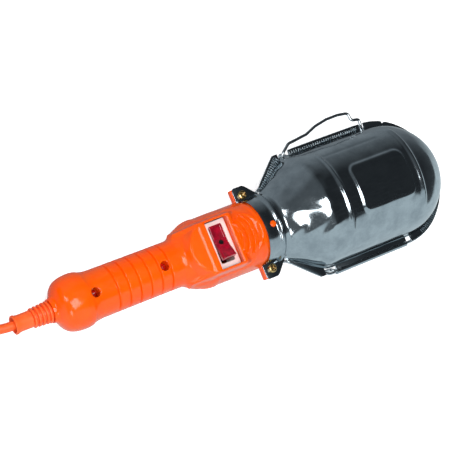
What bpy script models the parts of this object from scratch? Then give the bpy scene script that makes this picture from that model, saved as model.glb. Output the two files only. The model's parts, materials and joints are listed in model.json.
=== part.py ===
"""Hand-held work light: a two-shell plastic handle with a rocker switch, a stamped
half-shell reflector clamped to its neck, a hinged wire guard with a spring latch, an
E27 lampholder with its bulb, and a mains cord with a moulded two-pin plug.

Run with:  blender --background --python part.py

The lamp's own frame has its axis along +X from tail to dome, +Y towards the latch
and +Z out of the switch side.  The lamp lies face down, on the first hoop of its
guard and on the tail of its handle, so its frame is pitched by LIE_PITCH.
Sizes are in millimetres and mm() turns them into metres.
"""

import math

import bmesh
import bpy
from mathutils import Euler, Matrix, Vector

# ---------------------------------------------------------------- driving sizes (mm)
GAP = 0.3                     # clearance between pieces that meet
SPLIT_GAP = 0.15              # half of the clearance on the handle's parting plane

# Handle
TAIL_X = -160.4               # tail face of the handle
BULGE_X, BULGE_R = -139.6, 20.0
GRIP_R = 16.8
GROOVE_FIRST_X, GROOVE_PITCH, GROOVE_COUNT = -116.0, 8.3, 6
GROOVE_WIDTH, GROOVE_DEPTH = 2.0, 0.7
HEAD_R = 24.0
SPIGOT_R, SPIGOT_END_X = 22.7, 14.0
WALL = 2.6                    # wall of the moulded shells
HANDLE_SCREW_X = (-131.6, -78.0)
SCREW_WELL_R = 3.5            # wide part of the screw holes
PLATE_Z, PAD_Z = 23.8, 24.6   # raised plate behind the switch and the pad round its window
WINDOW_X = (-42.7, -24.9)
WINDOW_HALF_Y = 17.2

# Switch
ROCKER_HALF_LENGTH, ROCKER_HALF_WIDTH = 12.3, 4.9
ROCKER_PIVOT_Z = 14.8
ROCKER_TILT = 13.0            # degrees either way from level
BEZEL_Z = 19.3
SWITCH_X = 0.5 * (WINDOW_X[0] + WINDOW_X[1])

# Reflector shell
SHEET = 0.8
BAND_R = 24.0                 # outside of the neck band
SHELL_R = 42.2                # outside of the shade
CONE_START_X, CONE_END_X = 17.5, 44.5
DOME_X = 116.0                # centre of the dome
FLANGE_Y = 46.9               # outer edge of the straight flange
STRAIGHT_X = (51.5, 114.6)    # straight flange and rolled hinge tube
EAR_SCREW_X, EAR_SCREW_Y = 3.8, 28.0
EAR_Y = 34.6
NUB_X, NUB_R = 6.6, 2.2
HINGE_Y, HINGE_Z = -47.3, -1.25
HINGE_TUBE_R, HINGE_BORE_R = 2.1, 1.35

# Wire guard
WIRE_R = 1.05                 # frame wire, which turns in the rolled tube
HOOP_R = 1.2
HOOP_X = (50.5, 82.0, 112.6)
HOOP_FLAT_Y, HOOP_DEPTH = 22.0, 43.0
SIDE_BAR_Y, SIDE_BAR_Z = 40.3, -18.0
FRONT_BAR_Y = 19.0
LATCH_Y, LATCH_Z = 43.2, -2.4
LATCH_WIRE_R = 1.0

# Cord
CORD_R = 3.25
SLEEVE_MOUTH_X = -187.6
COIL_CENTRE = (-234.0, 57.0)  # on the floor, in the world's frame
COIL_MEAN_R = 38.0
COIL_COLUMNS, COIL_LAYERS = 5, 4
TIE_THICKNESS, TIE_WIDTH, TIE_ANGLE = 0.9, 9.0, 24.0

# Plug, lying on the coil with its pins towards +Y
PLUG_OFFSET_X = -22.0         # from the coil's centre
BOOT_START_Y, BOOT_LENGTH = -20.0, 24.0
PLUG_LENGTH, PLUG_HALF_WIDTH, PLUG_HALF_HEIGHT = 31.0, 15.5, 6.9
PIN_SPACING, PIN_R, PIN_LENGTH = 18.6, 2.0, 19.0

# Where the lamp stands
LIE_PITCH = 7.18              # degrees, dome end up
LAMP_SHIFT = (12.43, -5.17, 37.55)

# Screw steps round a turned piece, and the turn that keeps a rod's corners off the
# seams of the turned pieces that it joins
FINE, COARSE = 30, 16
FACET_TURN = 3.7


# ---------------------------------------------------------------- helpers
def mm(*values):
    """A vector in metres from sizes in millimetres."""
    return Vector([value * 0.001 for value in values])


def clear_scene():
    """Remove whatever the file holds before the part is built."""
    for item in list(bpy.data.objects):
        bpy.data.objects.remove(item, do_unlink=True)


def make_collection(name):
    """A collection linked to the scene."""
    collection = bpy.data.collections.new(name)
    bpy.context.scene.collection.children.link(collection)
    return collection


def make_material(name, colour, roughness, metallic=0.0, transmission=0.0):
    """A Principled BSDF material with the part's colour and finish."""
    material = bpy.data.materials.new(name)
    material.use_nodes = True
    shader = material.node_tree.nodes["Principled BSDF"]
    shader.inputs["Base Color"].default_value = (*colour, 1.0)
    shader.inputs["Roughness"].default_value = roughness
    shader.inputs["Metallic"].default_value = metallic
    shader.inputs["Transmission Weight"].default_value = transmission
    material.diffuse_color = (*colour, 1.0)
    return material


def shade_round(mesh, degrees=35.0):
    """Smooth shading that keeps edges sharper than the angle."""
    mesh.shade_smooth()
    mesh.set_sharp_from_angle(angle=math.radians(degrees))


def add_part(name, data, material, parent=None):
    """Put a mesh or curve in the part's collection as a named node."""
    item = bpy.data.objects.new(name, data)
    PARTS.objects.link(item)
    if material is not None:
        data.materials.append(material)
    item.parent = parent
    return item


def add_cutter(name, data, parent=None):
    """Put a mesh in the cutters' collection, out of the model."""
    item = bpy.data.objects.new(name, data)
    CUTTERS.objects.link(item)
    item.hide_render = True
    item.display_type = "WIRE"
    item.parent = parent
    return item


def box_mesh(name, low, high):
    """A box between two corners."""
    shape = bmesh.new()
    bmesh.ops.create_cube(shape, size=1.0)
    size = [high[i] - low[i] for i in range(3)]
    middle = [0.5 * (high[i] + low[i]) for i in range(3)]
    bmesh.ops.scale(shape, vec=mm(*size), verts=shape.verts)
    bmesh.ops.translate(shape, vec=mm(*middle), verts=shape.verts)
    mesh = bpy.data.meshes.new(name)
    shape.to_mesh(mesh)
    shape.free()
    return mesh


def rod_mesh(name, radius, start, end, sides=COARSE, end_radius=None):
    """A cylinder or cone between two points."""
    shape = bmesh.new()
    first, last = mm(*start), mm(*end)
    bmesh.ops.create_cone(
        shape, cap_ends=True, segments=sides, radius1=radius * 0.001,
        radius2=(radius if end_radius is None else end_radius) * 0.001,
        depth=(last - first).length)
    turn = Vector((0.0, 0.0, 1.0)).rotation_difference(last - first).to_matrix().to_4x4()
    facing = Matrix.Rotation(math.radians(FACET_TURN), 4, "Z")
    place = Matrix.Translation(0.5 * (first + last)) @ turn @ facing
    bmesh.ops.transform(shape, matrix=place, verts=shape.verts)
    mesh = bpy.data.meshes.new(name)
    shape.to_mesh(mesh)
    shape.free()
    shade_round(mesh)
    return mesh


def turned_mesh(name, profile, closed=False):
    """The outline of a turned shape: (x, radius) pairs, tail to dome on the outside."""
    mesh = bpy.data.meshes.new(name)
    points = [mm(x, 0.0, radius) for x, radius in reversed(profile)]
    edges = [(i, i + 1) for i in range(len(points) - 1)]
    if closed:
        edges.append((len(points) - 1, 0))
    mesh.from_pydata(points, edges, [])
    return mesh


def add_screw(item, steps=FINE, degrees=360.0):
    """Turn the outline round the lamp's axis."""
    screw = item.modifiers.new("turn", "SCREW")
    screw.axis = "X"
    screw.angle = math.radians(degrees)
    screw.steps = steps
    screw.render_steps = steps
    screw.use_merge_vertices = True
    screw.merge_threshold = 0.00002
    screw.use_smooth_shade = True
    return screw


def add_boolean(item, other, operation="DIFFERENCE"):
    """Cut or join with another object."""
    boolean = item.modifiers.new(operation.lower() + "_" + other.name, "BOOLEAN")
    boolean.operation = operation
    boolean.object = other
    return boolean


def add_bevel(item, width, segments=2, degrees=35.0):
    """Round the sharp edges."""
    bevel = item.modifiers.new("round", "BEVEL")
    bevel.width = width * 0.001
    bevel.segments = segments
    bevel.limit_method = "ANGLE"
    bevel.angle_limit = math.radians(degrees)
    return bevel


def flat_curve(name, outline, low, high):
    """A flat outline in XY given a thickness from low to high along Z."""
    data = bpy.data.curves.new(name, "CURVE")
    data.dimensions = "2D"
    data.fill_mode = "BOTH"
    data.extrude = 0.0005 * (high - low)
    data.resolution_u = 1
    spline = data.splines.new("POLY")
    spline.points.add(len(outline) - 1)
    for point, (x, y) in zip(spline.points, outline):
        point.co = (*mm(x, y), 0.0, 1.0)
    spline.use_cyclic_u = True
    return data


def plate_mesh(name, outline, low, high):
    """The same flat outline as a welded mesh, ready to be cut or joined."""
    guide = bpy.data.objects.new(name + "_outline", flat_curve(name, outline, low, high))
    CUTTERS.objects.link(guide)
    depsgraph = bpy.context.evaluated_depsgraph_get()
    mesh = bpy.data.meshes.new_from_object(guide.evaluated_get(depsgraph))
    bpy.data.objects.remove(guide, do_unlink=True)
    shape = bmesh.new()
    shape.from_mesh(mesh)
    bmesh.ops.remove_doubles(shape, verts=shape.verts, dist=0.000001)
    bmesh.ops.translate(shape, vec=mm(0, 0, 0.5 * (low + high)), verts=shape.verts)
    bmesh.ops.recalc_face_normals(shape, faces=shape.faces)
    shape.to_mesh(mesh)
    shape.free()
    mesh.name = name
    return mesh


def arc(centre, radius, start, end, count):
    """Points on an arc in a plane, angles in degrees."""
    points = []
    for i in range(count + 1):
        angle = math.radians(start + (end - start) * i / count)
        points.append((centre[0] + radius * math.cos(angle),
                       centre[1] + radius * math.sin(angle)))
    return points


def smooth_path(points, step):
    """Points about a step apart on a smooth curve through the route's points."""
    knots = [Vector(point) for point in points]
    ends = [knots[0] * 2.0 - knots[1]] + knots + [knots[-1] * 2.0 - knots[-2]]
    path = []
    for i in range(1, len(ends) - 2):
        before, first, last, after = ends[i - 1:i + 3]
        count = max(1, round((last - first).length / step))
        for j in range(count):
            path.append(catmull_rom(before, first, last, after, j / count))
    path.append(knots[-1])
    return path


def catmull_rom(before, first, last, after, t):
    """A point between first and last on a Catmull-Rom curve."""
    return 0.5 * (2.0 * first + (last - before) * t
                  + (2.0 * before - 5.0 * first + 4.0 * last - after) * t ** 2
                  + (3.0 * first - before - 3.0 * last + after) * t ** 3)


def bent_path(points, radius, pieces=3):
    """A wire's corner points with each corner turned into a round bend."""
    corners = [Vector(point) for point in points]
    path = [corners[0]]
    for before, corner, after in zip(corners, corners[1:], corners[2:]):
        towards, away = (before - corner).normalized(), (after - corner).normalized()
        half = 0.5 * towards.angle(away)
        reach = min(radius / math.tan(half), 0.45 * (before - corner).length,
                    0.45 * (after - corner).length)
        start, end = corner + towards * reach, corner + away * reach
        for i in range(pieces + 1):
            t = i / pieces
            path.append(start * (1 - t) ** 2 + corner * 2 * t * (1 - t) + end * t ** 2)
    path.append(corners[-1])
    return path


def wire_part(name, path, radius, material, parent=None, resolution=2):
    """A round wire, cable or tube along a path, both ends closed."""
    data = bpy.data.curves.new(name, "CURVE")
    data.dimensions = "3D"
    data.bevel_depth = radius * 0.001
    data.bevel_resolution = resolution
    data.use_fill_caps = True
    spline = data.splines.new("POLY")
    spline.points.add(len(path) - 1)
    for point, place in zip(spline.points, path):
        point.co = (*mm(*place), 1.0)
    return add_part(name, data, material, parent)


# ---------------------------------------------------------------- handle
def handle_outline():
    """Outside of the handle from its tail to the end of its spigot."""
    outline = [(TAIL_X, 0.0), (TAIL_X, 8.2), (TAIL_X + 0.5, 8.7), (-158.4, 9.4),
               (-156.8, 11.2), (-155.2, 13.8), (-152.6, 16.3), (-149.2, 18.2),
               (-144.8, 19.6), (BULGE_X, BULGE_R), (-136.6, 19.6), (-133.6, 18.5),
               (-130.6, 17.4), (-127.4, 17.0), (-122.0, GRIP_R)]
    for i in range(GROOVE_COUNT):
        x = GROOVE_FIRST_X + GROOVE_PITCH * i
        outline += [(x - 0.5 * GROOVE_WIDTH, GRIP_R), (x, GRIP_R - GROOVE_DEPTH),
                    (x + 0.5 * GROOVE_WIDTH, GRIP_R)]
    outline += [(-68.0, GRIP_R), (-63.8, 17.1), (-60.0, 18.6), (-56.4, 20.3),
                (-52.4, 21.7), (-47.6, 22.8), (-42.0, 23.6), (-35.0, HEAD_R),
                (-7.0, HEAD_R), (-3.0, 23.7), (-0.8, 23.2), (0.0, SPIGOT_R),
                (SPIGOT_END_X, SPIGOT_R), (SPIGOT_END_X, 0.0)]
    return outline


def handle_cavity_outline():
    """Inside of the handle, open at the tail and at the spigot."""
    return [(TAIL_X - 4.0, 0.0), (TAIL_X - 4.0, 6.7), (-157.4, 6.7), (-157.0, 8.9),
            (-154.0, 11.6), (-150.0, 14.9), (-145.0, 16.9), (BULGE_X, 17.3),
            (-134.0, 15.6), (-128.0, GRIP_R - WALL), (-66.0, GRIP_R - WALL),
            (-60.0, 16.0), (-54.0, 18.4), (-46.0, 20.6), (-38.0, HEAD_R - WALL),
            (-4.0, HEAD_R - WALL), (-1.5, SPIGOT_R - 2.2),
            (SPIGOT_END_X + 6.0, SPIGOT_R - 2.2), (SPIGOT_END_X + 6.0, 0.0)]


def switch_plate_outline():
    """Plate behind the switch: round at the tail end, a shallow arc at the dome end."""
    tail_round = arc((-41.0, 0.0), 18.4, 90.0, 270.0, 8)
    dome_round = arc((-38.0, 0.0), 31.0, -33.0, 33.0, 4)
    return tail_round + dome_round


def make_handle_half(name, side, material, lamp):
    """One moulded shell.  side is +1 for the switch side and -1 for the bulb side."""
    half = add_part(name, turned_mesh(name, handle_outline()), material, lamp)
    add_screw(half)
    removed = add_cutter(name + "_other_side", box_mesh(
        "other_side", (-175, -40, -40 if side > 0 else -SPLIT_GAP),
        (30, 40, SPLIT_GAP if side > 0 else 40)), lamp)
    add_boolean(half, removed)
    if side > 0:
        plate = add_cutter(name + "_plate", plate_mesh(
            "switch_plate", switch_plate_outline(), 8.0, PLATE_Z), lamp)
        add_bevel(plate, 1.2)
        pad = add_cutter(name + "_pad", box_mesh(
            "switch_pad", (-47.4, -20.4, 6.0), (-22.6, 20.4, PAD_Z)), lamp)
        add_bevel(pad, 1.6)
        add_boolean(half, plate, "UNION")
        add_boolean(half, pad, "UNION")
    cavity = add_cutter(name + "_cavity", turned_mesh(
        name + "_cavity", handle_cavity_outline()), lamp)
    add_screw(cavity, 22)
    add_boolean(half, cavity)
    for i, x in enumerate(HANDLE_SCREW_X):
        boss = add_cutter(f"{name}_boss_{i}", rod_mesh(
            "boss", 5.0, (x, 0, side * 0.3), (x, 0, side * 14.9), 14), lamp)
        add_boolean(half, boss, "UNION")
    if side > 0:
        nub = add_cutter(name + "_nub", rod_mesh(
            "nub", NUB_R, (NUB_X, 0, 21.6), (NUB_X, 0, BAND_R + 0.7)), lamp)
        add_boolean(half, nub, "UNION")
    else:
        for i, y_side in enumerate((1, -1)):
            ear = add_cutter(f"{name}_ear_{i}", box_mesh(
                "ear", (-3.2, min(21.9 * y_side, 34.0 * y_side), -5.2),
                (10.4, max(21.9 * y_side, 34.0 * y_side), -SPLIT_GAP - 0.02)), lamp)
            add_bevel(ear, 1.2)
            add_boolean(half, ear, "UNION")
    add_handle_holes(half, name, side, lamp)
    return half


def add_handle_holes(half, name, side, lamp):
    """Screw wells and pilots, the switch window and the holes of the ears."""
    for i, x in enumerate(HANDLE_SCREW_X):
        pilot = add_cutter(f"{name}_pilot_{i}", rod_mesh(
            "pilot", 1.75, (x, 0, side * -2.0), (x, 0, side * 12.0), 16), lamp)
        add_boolean(half, pilot)
        if side > 0:
            well = add_cutter(f"{name}_well_{i}", rod_mesh(
                "well", SCREW_WELL_R, (x, 0, 8.0), (x, 0, 30.0)), lamp)
            add_boolean(half, well)
    if side > 0:
        window = add_cutter(name + "_window", box_mesh(
            "window", (WINDOW_X[0], -WINDOW_HALF_Y, 2.0),
            (WINDOW_X[1], WINDOW_HALF_Y, 30.0)), lamp)
        add_boolean(half, window)
        return
    for i, y_side in enumerate((1, -1)):
        y = EAR_SCREW_Y * y_side
        hole = add_cutter(f"{name}_ear_hole_{i}", rod_mesh(
            "ear_hole", 2.2, (EAR_SCREW_X, y, -9), (EAR_SCREW_X, y, 4), 16), lamp)
        add_boolean(half, hole)
        post = add_cutter(f"{name}_clamp_post_{i}", rod_mesh(
            "clamp_post", 2.8, (-146.0, 9.0 * y_side, -16.4),
            (-146.0, 9.0 * y_side, -4.0), 16), lamp)
        add_boolean(half, post, "UNION")
        post_hole = add_cutter(f"{name}_clamp_hole_{i}", rod_mesh(
            "clamp_hole", 1.5, (-146.0, 9.0 * y_side, -10.5),
            (-146.0, 9.0 * y_side, -2.0), 12), lamp)
        add_boolean(half, post_hole)


def make_machine_screw(name, material, lamp, place, head, shank, drop):
    """A pan-head screw pointing along -Z, with a cross slot in its head."""
    x, y, head_z = place
    head_r, head_h = head
    item = add_part(name, rod_mesh(
        name, head_r, (x, y, head_z), (x, y, head_z + head_h), 20, head_r * 0.8),
        material, lamp)
    body = add_cutter(name + "_shank", rod_mesh(
        name + "_shank", shank, (x, y, head_z - drop), (x, y, head_z + 0.3), 14), lamp)
    add_boolean(item, body, "UNION")
    for i, (half_x, half_y) in enumerate(((head_r * 0.55, 0.4), (0.4, head_r * 0.55))):
        slot = add_cutter(f"{name}_slot_{i}", box_mesh(
            "slot", (x - half_x, y - half_y, head_z + head_h - 1.0),
            (x + half_x, y + half_y, head_z + head_h + 1.0)), lamp)
        add_boolean(item, slot)
    return item


def make_nut(name, material, lamp, place, across, thickness, bore):
    """A hexagon nut under an ear."""
    x, y, z = place
    outer = across / math.sqrt(3.0)
    item = add_part(name, rod_mesh(
        name, outer, (x, y, z - thickness), (x, y, z), 6), material, lamp)
    hole = add_cutter(name + "_bore", rod_mesh(
        name + "_bore", bore, (x, y, z - thickness - 2), (x, y, z + 2), 16), lamp)
    add_boolean(item, hole)
    return item


def make_handle(lamp):
    """Both shells with their screws, ear screws and nuts."""
    make_handle_half("handle_back_shell", 1, MATERIALS["orange_plastic"], lamp)
    make_handle_half("handle_front_shell", -1, MATERIALS["orange_plastic"], lamp)
    for label, x in zip(("tail", "grip"), HANDLE_SCREW_X):
        make_machine_screw("handle_screw_" + label, MATERIALS["zinc_screw"], lamp,
                           (x, 0.0, 8.0 + GAP), (3.0, 2.2), 1.4, 17.0)
    for label, side in (("latch_side", 1), ("hinge_side", -1)):
        y = EAR_SCREW_Y * side
        make_machine_screw("ear_screw_" + label, MATERIALS["yellow_zinc"], lamp,
                           (EAR_SCREW_X, y, SHEET + 0.05 + GAP), (3.2, 2.2), 1.7, 12.0)
        make_nut("ear_nut_" + label, MATERIALS["yellow_zinc"], lamp,
                 (EAR_SCREW_X, y, -5.2 - GAP), 7.0, 3.0, 2.0)


# ---------------------------------------------------------------- switch
def make_switch(lamp):
    """Housing with its bezel, rocker, spring blade and two terminals."""
    housing = add_part("switch_housing", box_mesh(
        "switch_housing", (WINDOW_X[0] + GAP, -WINDOW_HALF_Y + GAP, BEZEL_Z - 2.2),
        (WINDOW_X[1] - GAP, WINDOW_HALF_Y - GAP, BEZEL_Z)), MATERIALS["white_plastic"], lamp)
    body = add_cutter("switch_body", box_mesh(
        "switch_body", (SWITCH_X - 6.8, -15.6, 3.0), (SWITCH_X + 6.8, 15.6, BEZEL_Z - 1.0)),
        lamp)
    add_boolean(housing, body, "UNION")
    hollow = add_cutter("switch_hollow", box_mesh(
        "switch_hollow", (SWITCH_X - 5.3, -14.4, 4.6), (SWITCH_X + 5.3, 14.4, 25.0)), lamp)
    add_boolean(housing, hollow)
    make_rocker(lamp)
    for label, y in (("live", 8.0), ("lamp", -8.0)):
        terminal = add_part("switch_terminal_" + label, box_mesh(
            label, (SWITCH_X - 2.4, y - 0.4, -4.4), (SWITCH_X + 2.4, y + 0.4, 3.0 - GAP)),
            MATERIALS["brass"], lamp)
        add_bevel(terminal, 0.25, 1)
    make_spring_blade(lamp)


def make_spring_blade(lamp):
    """The bowed bronze contact that the rocker's cam pushes over."""
    path = [(SWITCH_X, y, 5.6 + 1.1 * math.cos(math.pi * y / 16.0)) for y in range(-9, 10, 3)]
    wire_part("switch_spring_blade", path, 0.6, MATERIALS["brass"], lamp)


def make_rocker(lamp):
    """The rocker on its own axis: a flattened V on top, a round cam below."""
    pivot = bpy.data.objects.new("rocker_axis", None)
    PARTS.objects.link(pivot)
    pivot.parent = lamp
    pivot.location = mm(SWITCH_X, 0.0, ROCKER_PIVOT_Z)
    pivot.rotation_euler = Euler((math.radians(-ROCKER_TILT), 0.0, 0.0))
    length, valley, tip = ROCKER_HALF_LENGTH, 5.0, 8.2
    outline = [(-length, tip), (-length - 0.5, 4.2), (-length + 1.0, 1.2), (-7.0, -1.6)]
    outline += arc((0.0, 0.0), 5.2, 216.0, 324.0, 6)
    outline += [(7.0, -1.6), (length - 1.0, 1.2), (length + 0.5, 4.2), (length, tip),
                (0.0, valley)]
    mesh = plate_mesh("switch_rocker", outline, -ROCKER_HALF_WIDTH, ROCKER_HALF_WIDTH)
    mesh.transform(Matrix(((0, 0, 1, 0), (1, 0, 0, 0), (0, 1, 0, 0), (0, 0, 0, 1))))
    rocker = add_part("switch_rocker", mesh, MATERIALS["red_rocker"], pivot)
    dimple = add_cutter("rocker_dimple", rod_mesh(
        "rocker_dimple", 1.6, (0, 0, valley - 0.5), (0, 0, valley + 4.0), 16), pivot)
    add_boolean(rocker, dimple)
    add_bevel(rocker, 0.4, 1, 50.0)


# ---------------------------------------------------------------- reflector shell
def shell_outline():
    """Outside of the shell from its neck band to the tip of its dome."""
    outline = [(0.0, BAND_R), (9.0, BAND_R), (9.9, 24.8), (11.2, 25.1), (12.5, 24.8),
               (13.3, BAND_R + 0.1), (16.4, BAND_R + 0.3), (CONE_START_X, 25.3),
               (CONE_END_X, SHELL_R)]
    dome = arc((DOME_X, 0.0), SHELL_R, 90.0, 0.0, 9)
    return outline + [(DOME_X - 30.0, SHELL_R)] + dome


def ear_outline(side):
    """A sheet ear beside the neck, its inner edge inside the band's wall."""
    points = [(-2.3, 24.4), (-2.3, 33.6), (-1.3, EAR_Y), (6.6, EAR_Y), (8.2, 33.6),
              (13.3, 27.4), (15.2, 25.4), (15.2, 23.9), (0.3, 23.7), (0.3, 24.4)]
    return [(x, y * side) for x, y in points]


def cone_flange_outline(side):
    """Flange beside the cone, wider towards the shade, cut off square at its end."""
    points = [(CONE_START_X - 0.4, 25.0), (CONE_START_X + 0.1, 28.0), (37.8, 46.6),
              (39.0, 47.0), (42.4, 47.0), (42.4, 40.6)]
    return [(x, y * side) for x, y in points]


def straight_flange_outline(side):
    """Flange beside the shade; the hinge side reaches the top of the rolled tube."""
    inner = SHELL_R - 0.5
    outer = FLANGE_Y if side > 0 else -HINGE_Y
    points = [(STRAIGHT_X[0], inner), (STRAIGHT_X[0], outer), (STRAIGHT_X[1], outer),
              (STRAIGHT_X[1], inner)]
    return [(x, y * side) for x, y in points]


def dome_flange_outline():
    """Flange round the dome in one piece."""
    start = 86.8
    outer = arc((DOME_X, 0.0), SHELL_R + 5.1, start, -start, 20)
    inner = arc((DOME_X, 0.0), SHELL_R - 0.5, -start, start, 20)
    return outer + inner


def rolled_tube_mesh():
    """The flange's edge rolled into an open tube for the guard's wire."""
    outside = arc((0.0, 0.0), HINGE_TUBE_R, 90.0, 392.0, 11)
    inside = arc((0.0, 0.0), HINGE_BORE_R, 392.0, 90.0, 11)
    mesh = plate_mesh("rolled_tube", outside + inside, STRAIGHT_X[0], STRAIGHT_X[1])
    mesh.transform(Matrix(((0, 0, 1, 0), (1, 0, 0, HINGE_Y * 0.001),
                           (0, 1, 0, HINGE_Z * 0.001), (0, 0, 0, 1))))
    return mesh


def make_shell(lamp):
    """The stamped shell: turned half, flat flanges and ears, rolled tube, pierced holes."""
    shell = add_part("reflector_shell", turned_mesh("reflector_shell", shell_outline()),
                     MATERIALS["zinc_sheet"], lamp)
    shell.rotation_euler = Euler((math.radians(-90.0), 0.0, 0.0))
    add_screw(shell, 22, 180.0)
    thickness = shell.modifiers.new("sheet", "SOLIDIFY")
    thickness.thickness = SHEET * 0.001
    thickness.offset = -1.0
    plates = [("ear", ear_outline), ("cone_flange", cone_flange_outline),
              ("straight_flange", straight_flange_outline)]
    low, high = 0.05, SHEET + 0.05
    for label, outline in plates:
        for side_name, side in (("latch", 1), ("hinge", -1)):
            name = f"{label}_{side_name}"
            plate = add_cutter(name, plate_mesh(name, outline(side), low, high), lamp)
            add_boolean(shell, plate, "UNION")
    dome_flange = add_cutter("dome_flange", plate_mesh(
        "dome_flange", dome_flange_outline(), low, high), lamp)
    add_boolean(shell, dome_flange, "UNION")
    add_boolean(shell, add_cutter("rolled_tube", rolled_tube_mesh(), lamp), "UNION")
    for side in (1, -1):
        y = EAR_SCREW_Y * side
        hole = add_cutter(f"shell_ear_hole_{side}", rod_mesh(
            "shell_ear_hole", 2.0, (EAR_SCREW_X, y, -3), (EAR_SCREW_X, y, 3), 16), lamp)
        add_boolean(shell, hole)
    nub_hole = add_cutter("nub_hole", rod_mesh(
        "nub_hole", NUB_R + GAP, (NUB_X, 0, 18), (NUB_X, 0, 30), 16), lamp)
    add_boolean(shell, nub_hole)


# ---------------------------------------------------------------- guard
def guard_frame_path():
    """The frame wire: hinge run, cone side, round the neck, latch rail, round the dome."""
    neck_x, neck_r = 19.0, 27.5
    neck = [(neck_x, y, z) for y, z in arc((0.0, 0.0), neck_r, -8.0, -172.0, 9)]
    middle_y, dome_r = 0.5 * (LATCH_Y + HINGE_Y), 0.5 * (LATCH_Y - HINGE_Y)
    dome = []
    for i, (x, y) in enumerate(arc((DOME_X + 0.8, middle_y), dome_r, 90.0, -90.0, 14)):
        dome.append((x, y, LATCH_Z + (HINGE_Z - LATCH_Z) * i / 14.0))
    rail = bent_path([neck[0], (44.0, LATCH_Y, LATCH_Z), dome[0]], 6.0)
    hinge = bent_path([dome[-1], (46.0, HINGE_Y, HINGE_Z), neck[-1]], 6.0)
    loop = rail[:-1] + dome + hinge[1:-1] + neck[::-1]
    cut = 7
    loop = loop[cut:] + loop[1:cut]
    last, first = Vector(loop[-1]), Vector(loop[0])
    loop.append(last + (first - last) * (1.0 - 0.6 / (first - last).length))
    return loop


def hoop_path(x, ends_at_bars):
    """A D-shaped hoop across the front, flat where it can lie on the floor."""
    if ends_at_bars:
        top = [(SIDE_BAR_Y + HOOP_R * 2 + GAP, SIDE_BAR_Z + 5.0)]
    else:
        top = [(LATCH_Y + 1.6, LATCH_Z - 2.0 * HOOP_R - GAP)]
    half = top + [(44.0, -17.0), (HOOP_FLAT_Y + 9.0, -HOOP_DEPTH + 3.0),
                  (HOOP_FLAT_Y, -HOOP_DEPTH)]
    points = [(x, y, z) for y, z in half] + [(x, -y, z) for y, z in reversed(half)]
    return bent_path(points, 12.0)


def front_bar_path(y):
    """A bar along the front, turned up to the frame at the neck and at the dome."""
    inner = -HOOP_DEPTH + 2.0 * HOOP_R + GAP
    bottom = LATCH_Z - 2.0 * HOOP_R - GAP
    return bent_path([(20.5, y, -23.5), (43.0, y, inner), (128.0, y, inner),
                      (150.0, y, -22.0), (156.0, y, bottom)], 16.0)


def latch_path():
    """The spring latch: an eye on the rail, a finger bow and a stepped end with an eye."""
    eye_r = WIRE_R + GAP + LATCH_WIRE_R
    start_x, end_x = 46.4, 116.6
    turn = [(LATCH_Y + y, LATCH_Z + z) for z, y in arc((0, 0), eye_r, 250.0, 20.0, 7)]
    top = LATCH_Z + eye_r + 0.6
    bow = [(start_x + 1.6, 46.6, top), (54.0, 51.2, 1.4), (70.8, 53.2, 1.4),
           (80.0, 56.6, 1.4), (91.0, 58.6, 1.4), (101.0, 58.8, 1.4), (109.8, 57.6, 1.4),
           (110.2, 51.6, 1.4), (116.6, 50.6, 1.4), (end_x, 46.8, top)]
    eye_in = [(start_x, y, z) for y, z in turn]
    eye_out = [(end_x, y, z) for y, z in reversed(turn)]
    return eye_in[:-1] + bent_path([eye_in[-1]] + bow + [eye_out[0]], 3.0, 2) + eye_out[1:]


def make_guard(lamp):
    """The hinged cage: frame wire, three hoops, two side bars, two front bars, latch."""
    steel = MATERIALS["zinc_wire"]
    wire_part("guard_frame_wire", guard_frame_path(), WIRE_R, steel, lamp)
    for label, x in zip(("neck", "middle", "dome"), HOOP_X):
        wire_part("guard_hoop_" + label, hoop_path(x, label == "middle"), HOOP_R, steel, lamp)
    for label, side in (("latch_side", 1), ("hinge_side", -1)):
        y = side * SIDE_BAR_Y
        wire_part("guard_side_bar_" + label,
                  [(HOOP_X[0] - 1.0, y, SIDE_BAR_Z), (HOOP_X[2] + 1.0, y, SIDE_BAR_Z)],
                  HOOP_R, steel, lamp)
        wire_part("guard_front_bar_" + label, front_bar_path(side * FRONT_BAR_Y), HOOP_R,
                  steel, lamp)
    wire_part("guard_latch_bow", latch_path(), LATCH_WIRE_R, steel, lamp)


# ---------------------------------------------------------------- lampholder and bulb
def make_lampholder(lamp):
    """E27 holder: insulating cup, threaded sleeve, centre contact."""
    cup = [(-20.0, 3.0), (-20.0, 17.2), (-18.5, 18.9), (11.0, 18.9), (12.4, 18.0),
           (12.4, 14.9), (-15.6, 14.9), (-15.6, 3.0)]
    item = add_part("lampholder_cup", turned_mesh("lampholder_cup", cup, True),
                    MATERIALS["white_ceramic"], lamp)
    add_screw(item, 20)
    sleeve = [(-14.8, 13.9), (9.8, 13.9), (10.2, 14.4), (11.2, 14.4), (11.2, 13.5),
              (-14.8, 13.5)]
    item = add_part("lampholder_screw_shell", turned_mesh("screw_shell", sleeve, True),
                    MATERIALS["brass"], lamp)
    add_screw(item, 20)
    tongue = [(-15.0, 9.0, 0.0), (-14.6, 5.0, 0.0), (-13.0, 1.0, 0.0), (-12.6, -2.0, 0.0)]
    wire_part("lampholder_centre_contact", bent_path(tongue, 2.0, 3), 0.5,
              MATERIALS["brass"], lamp)


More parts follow.
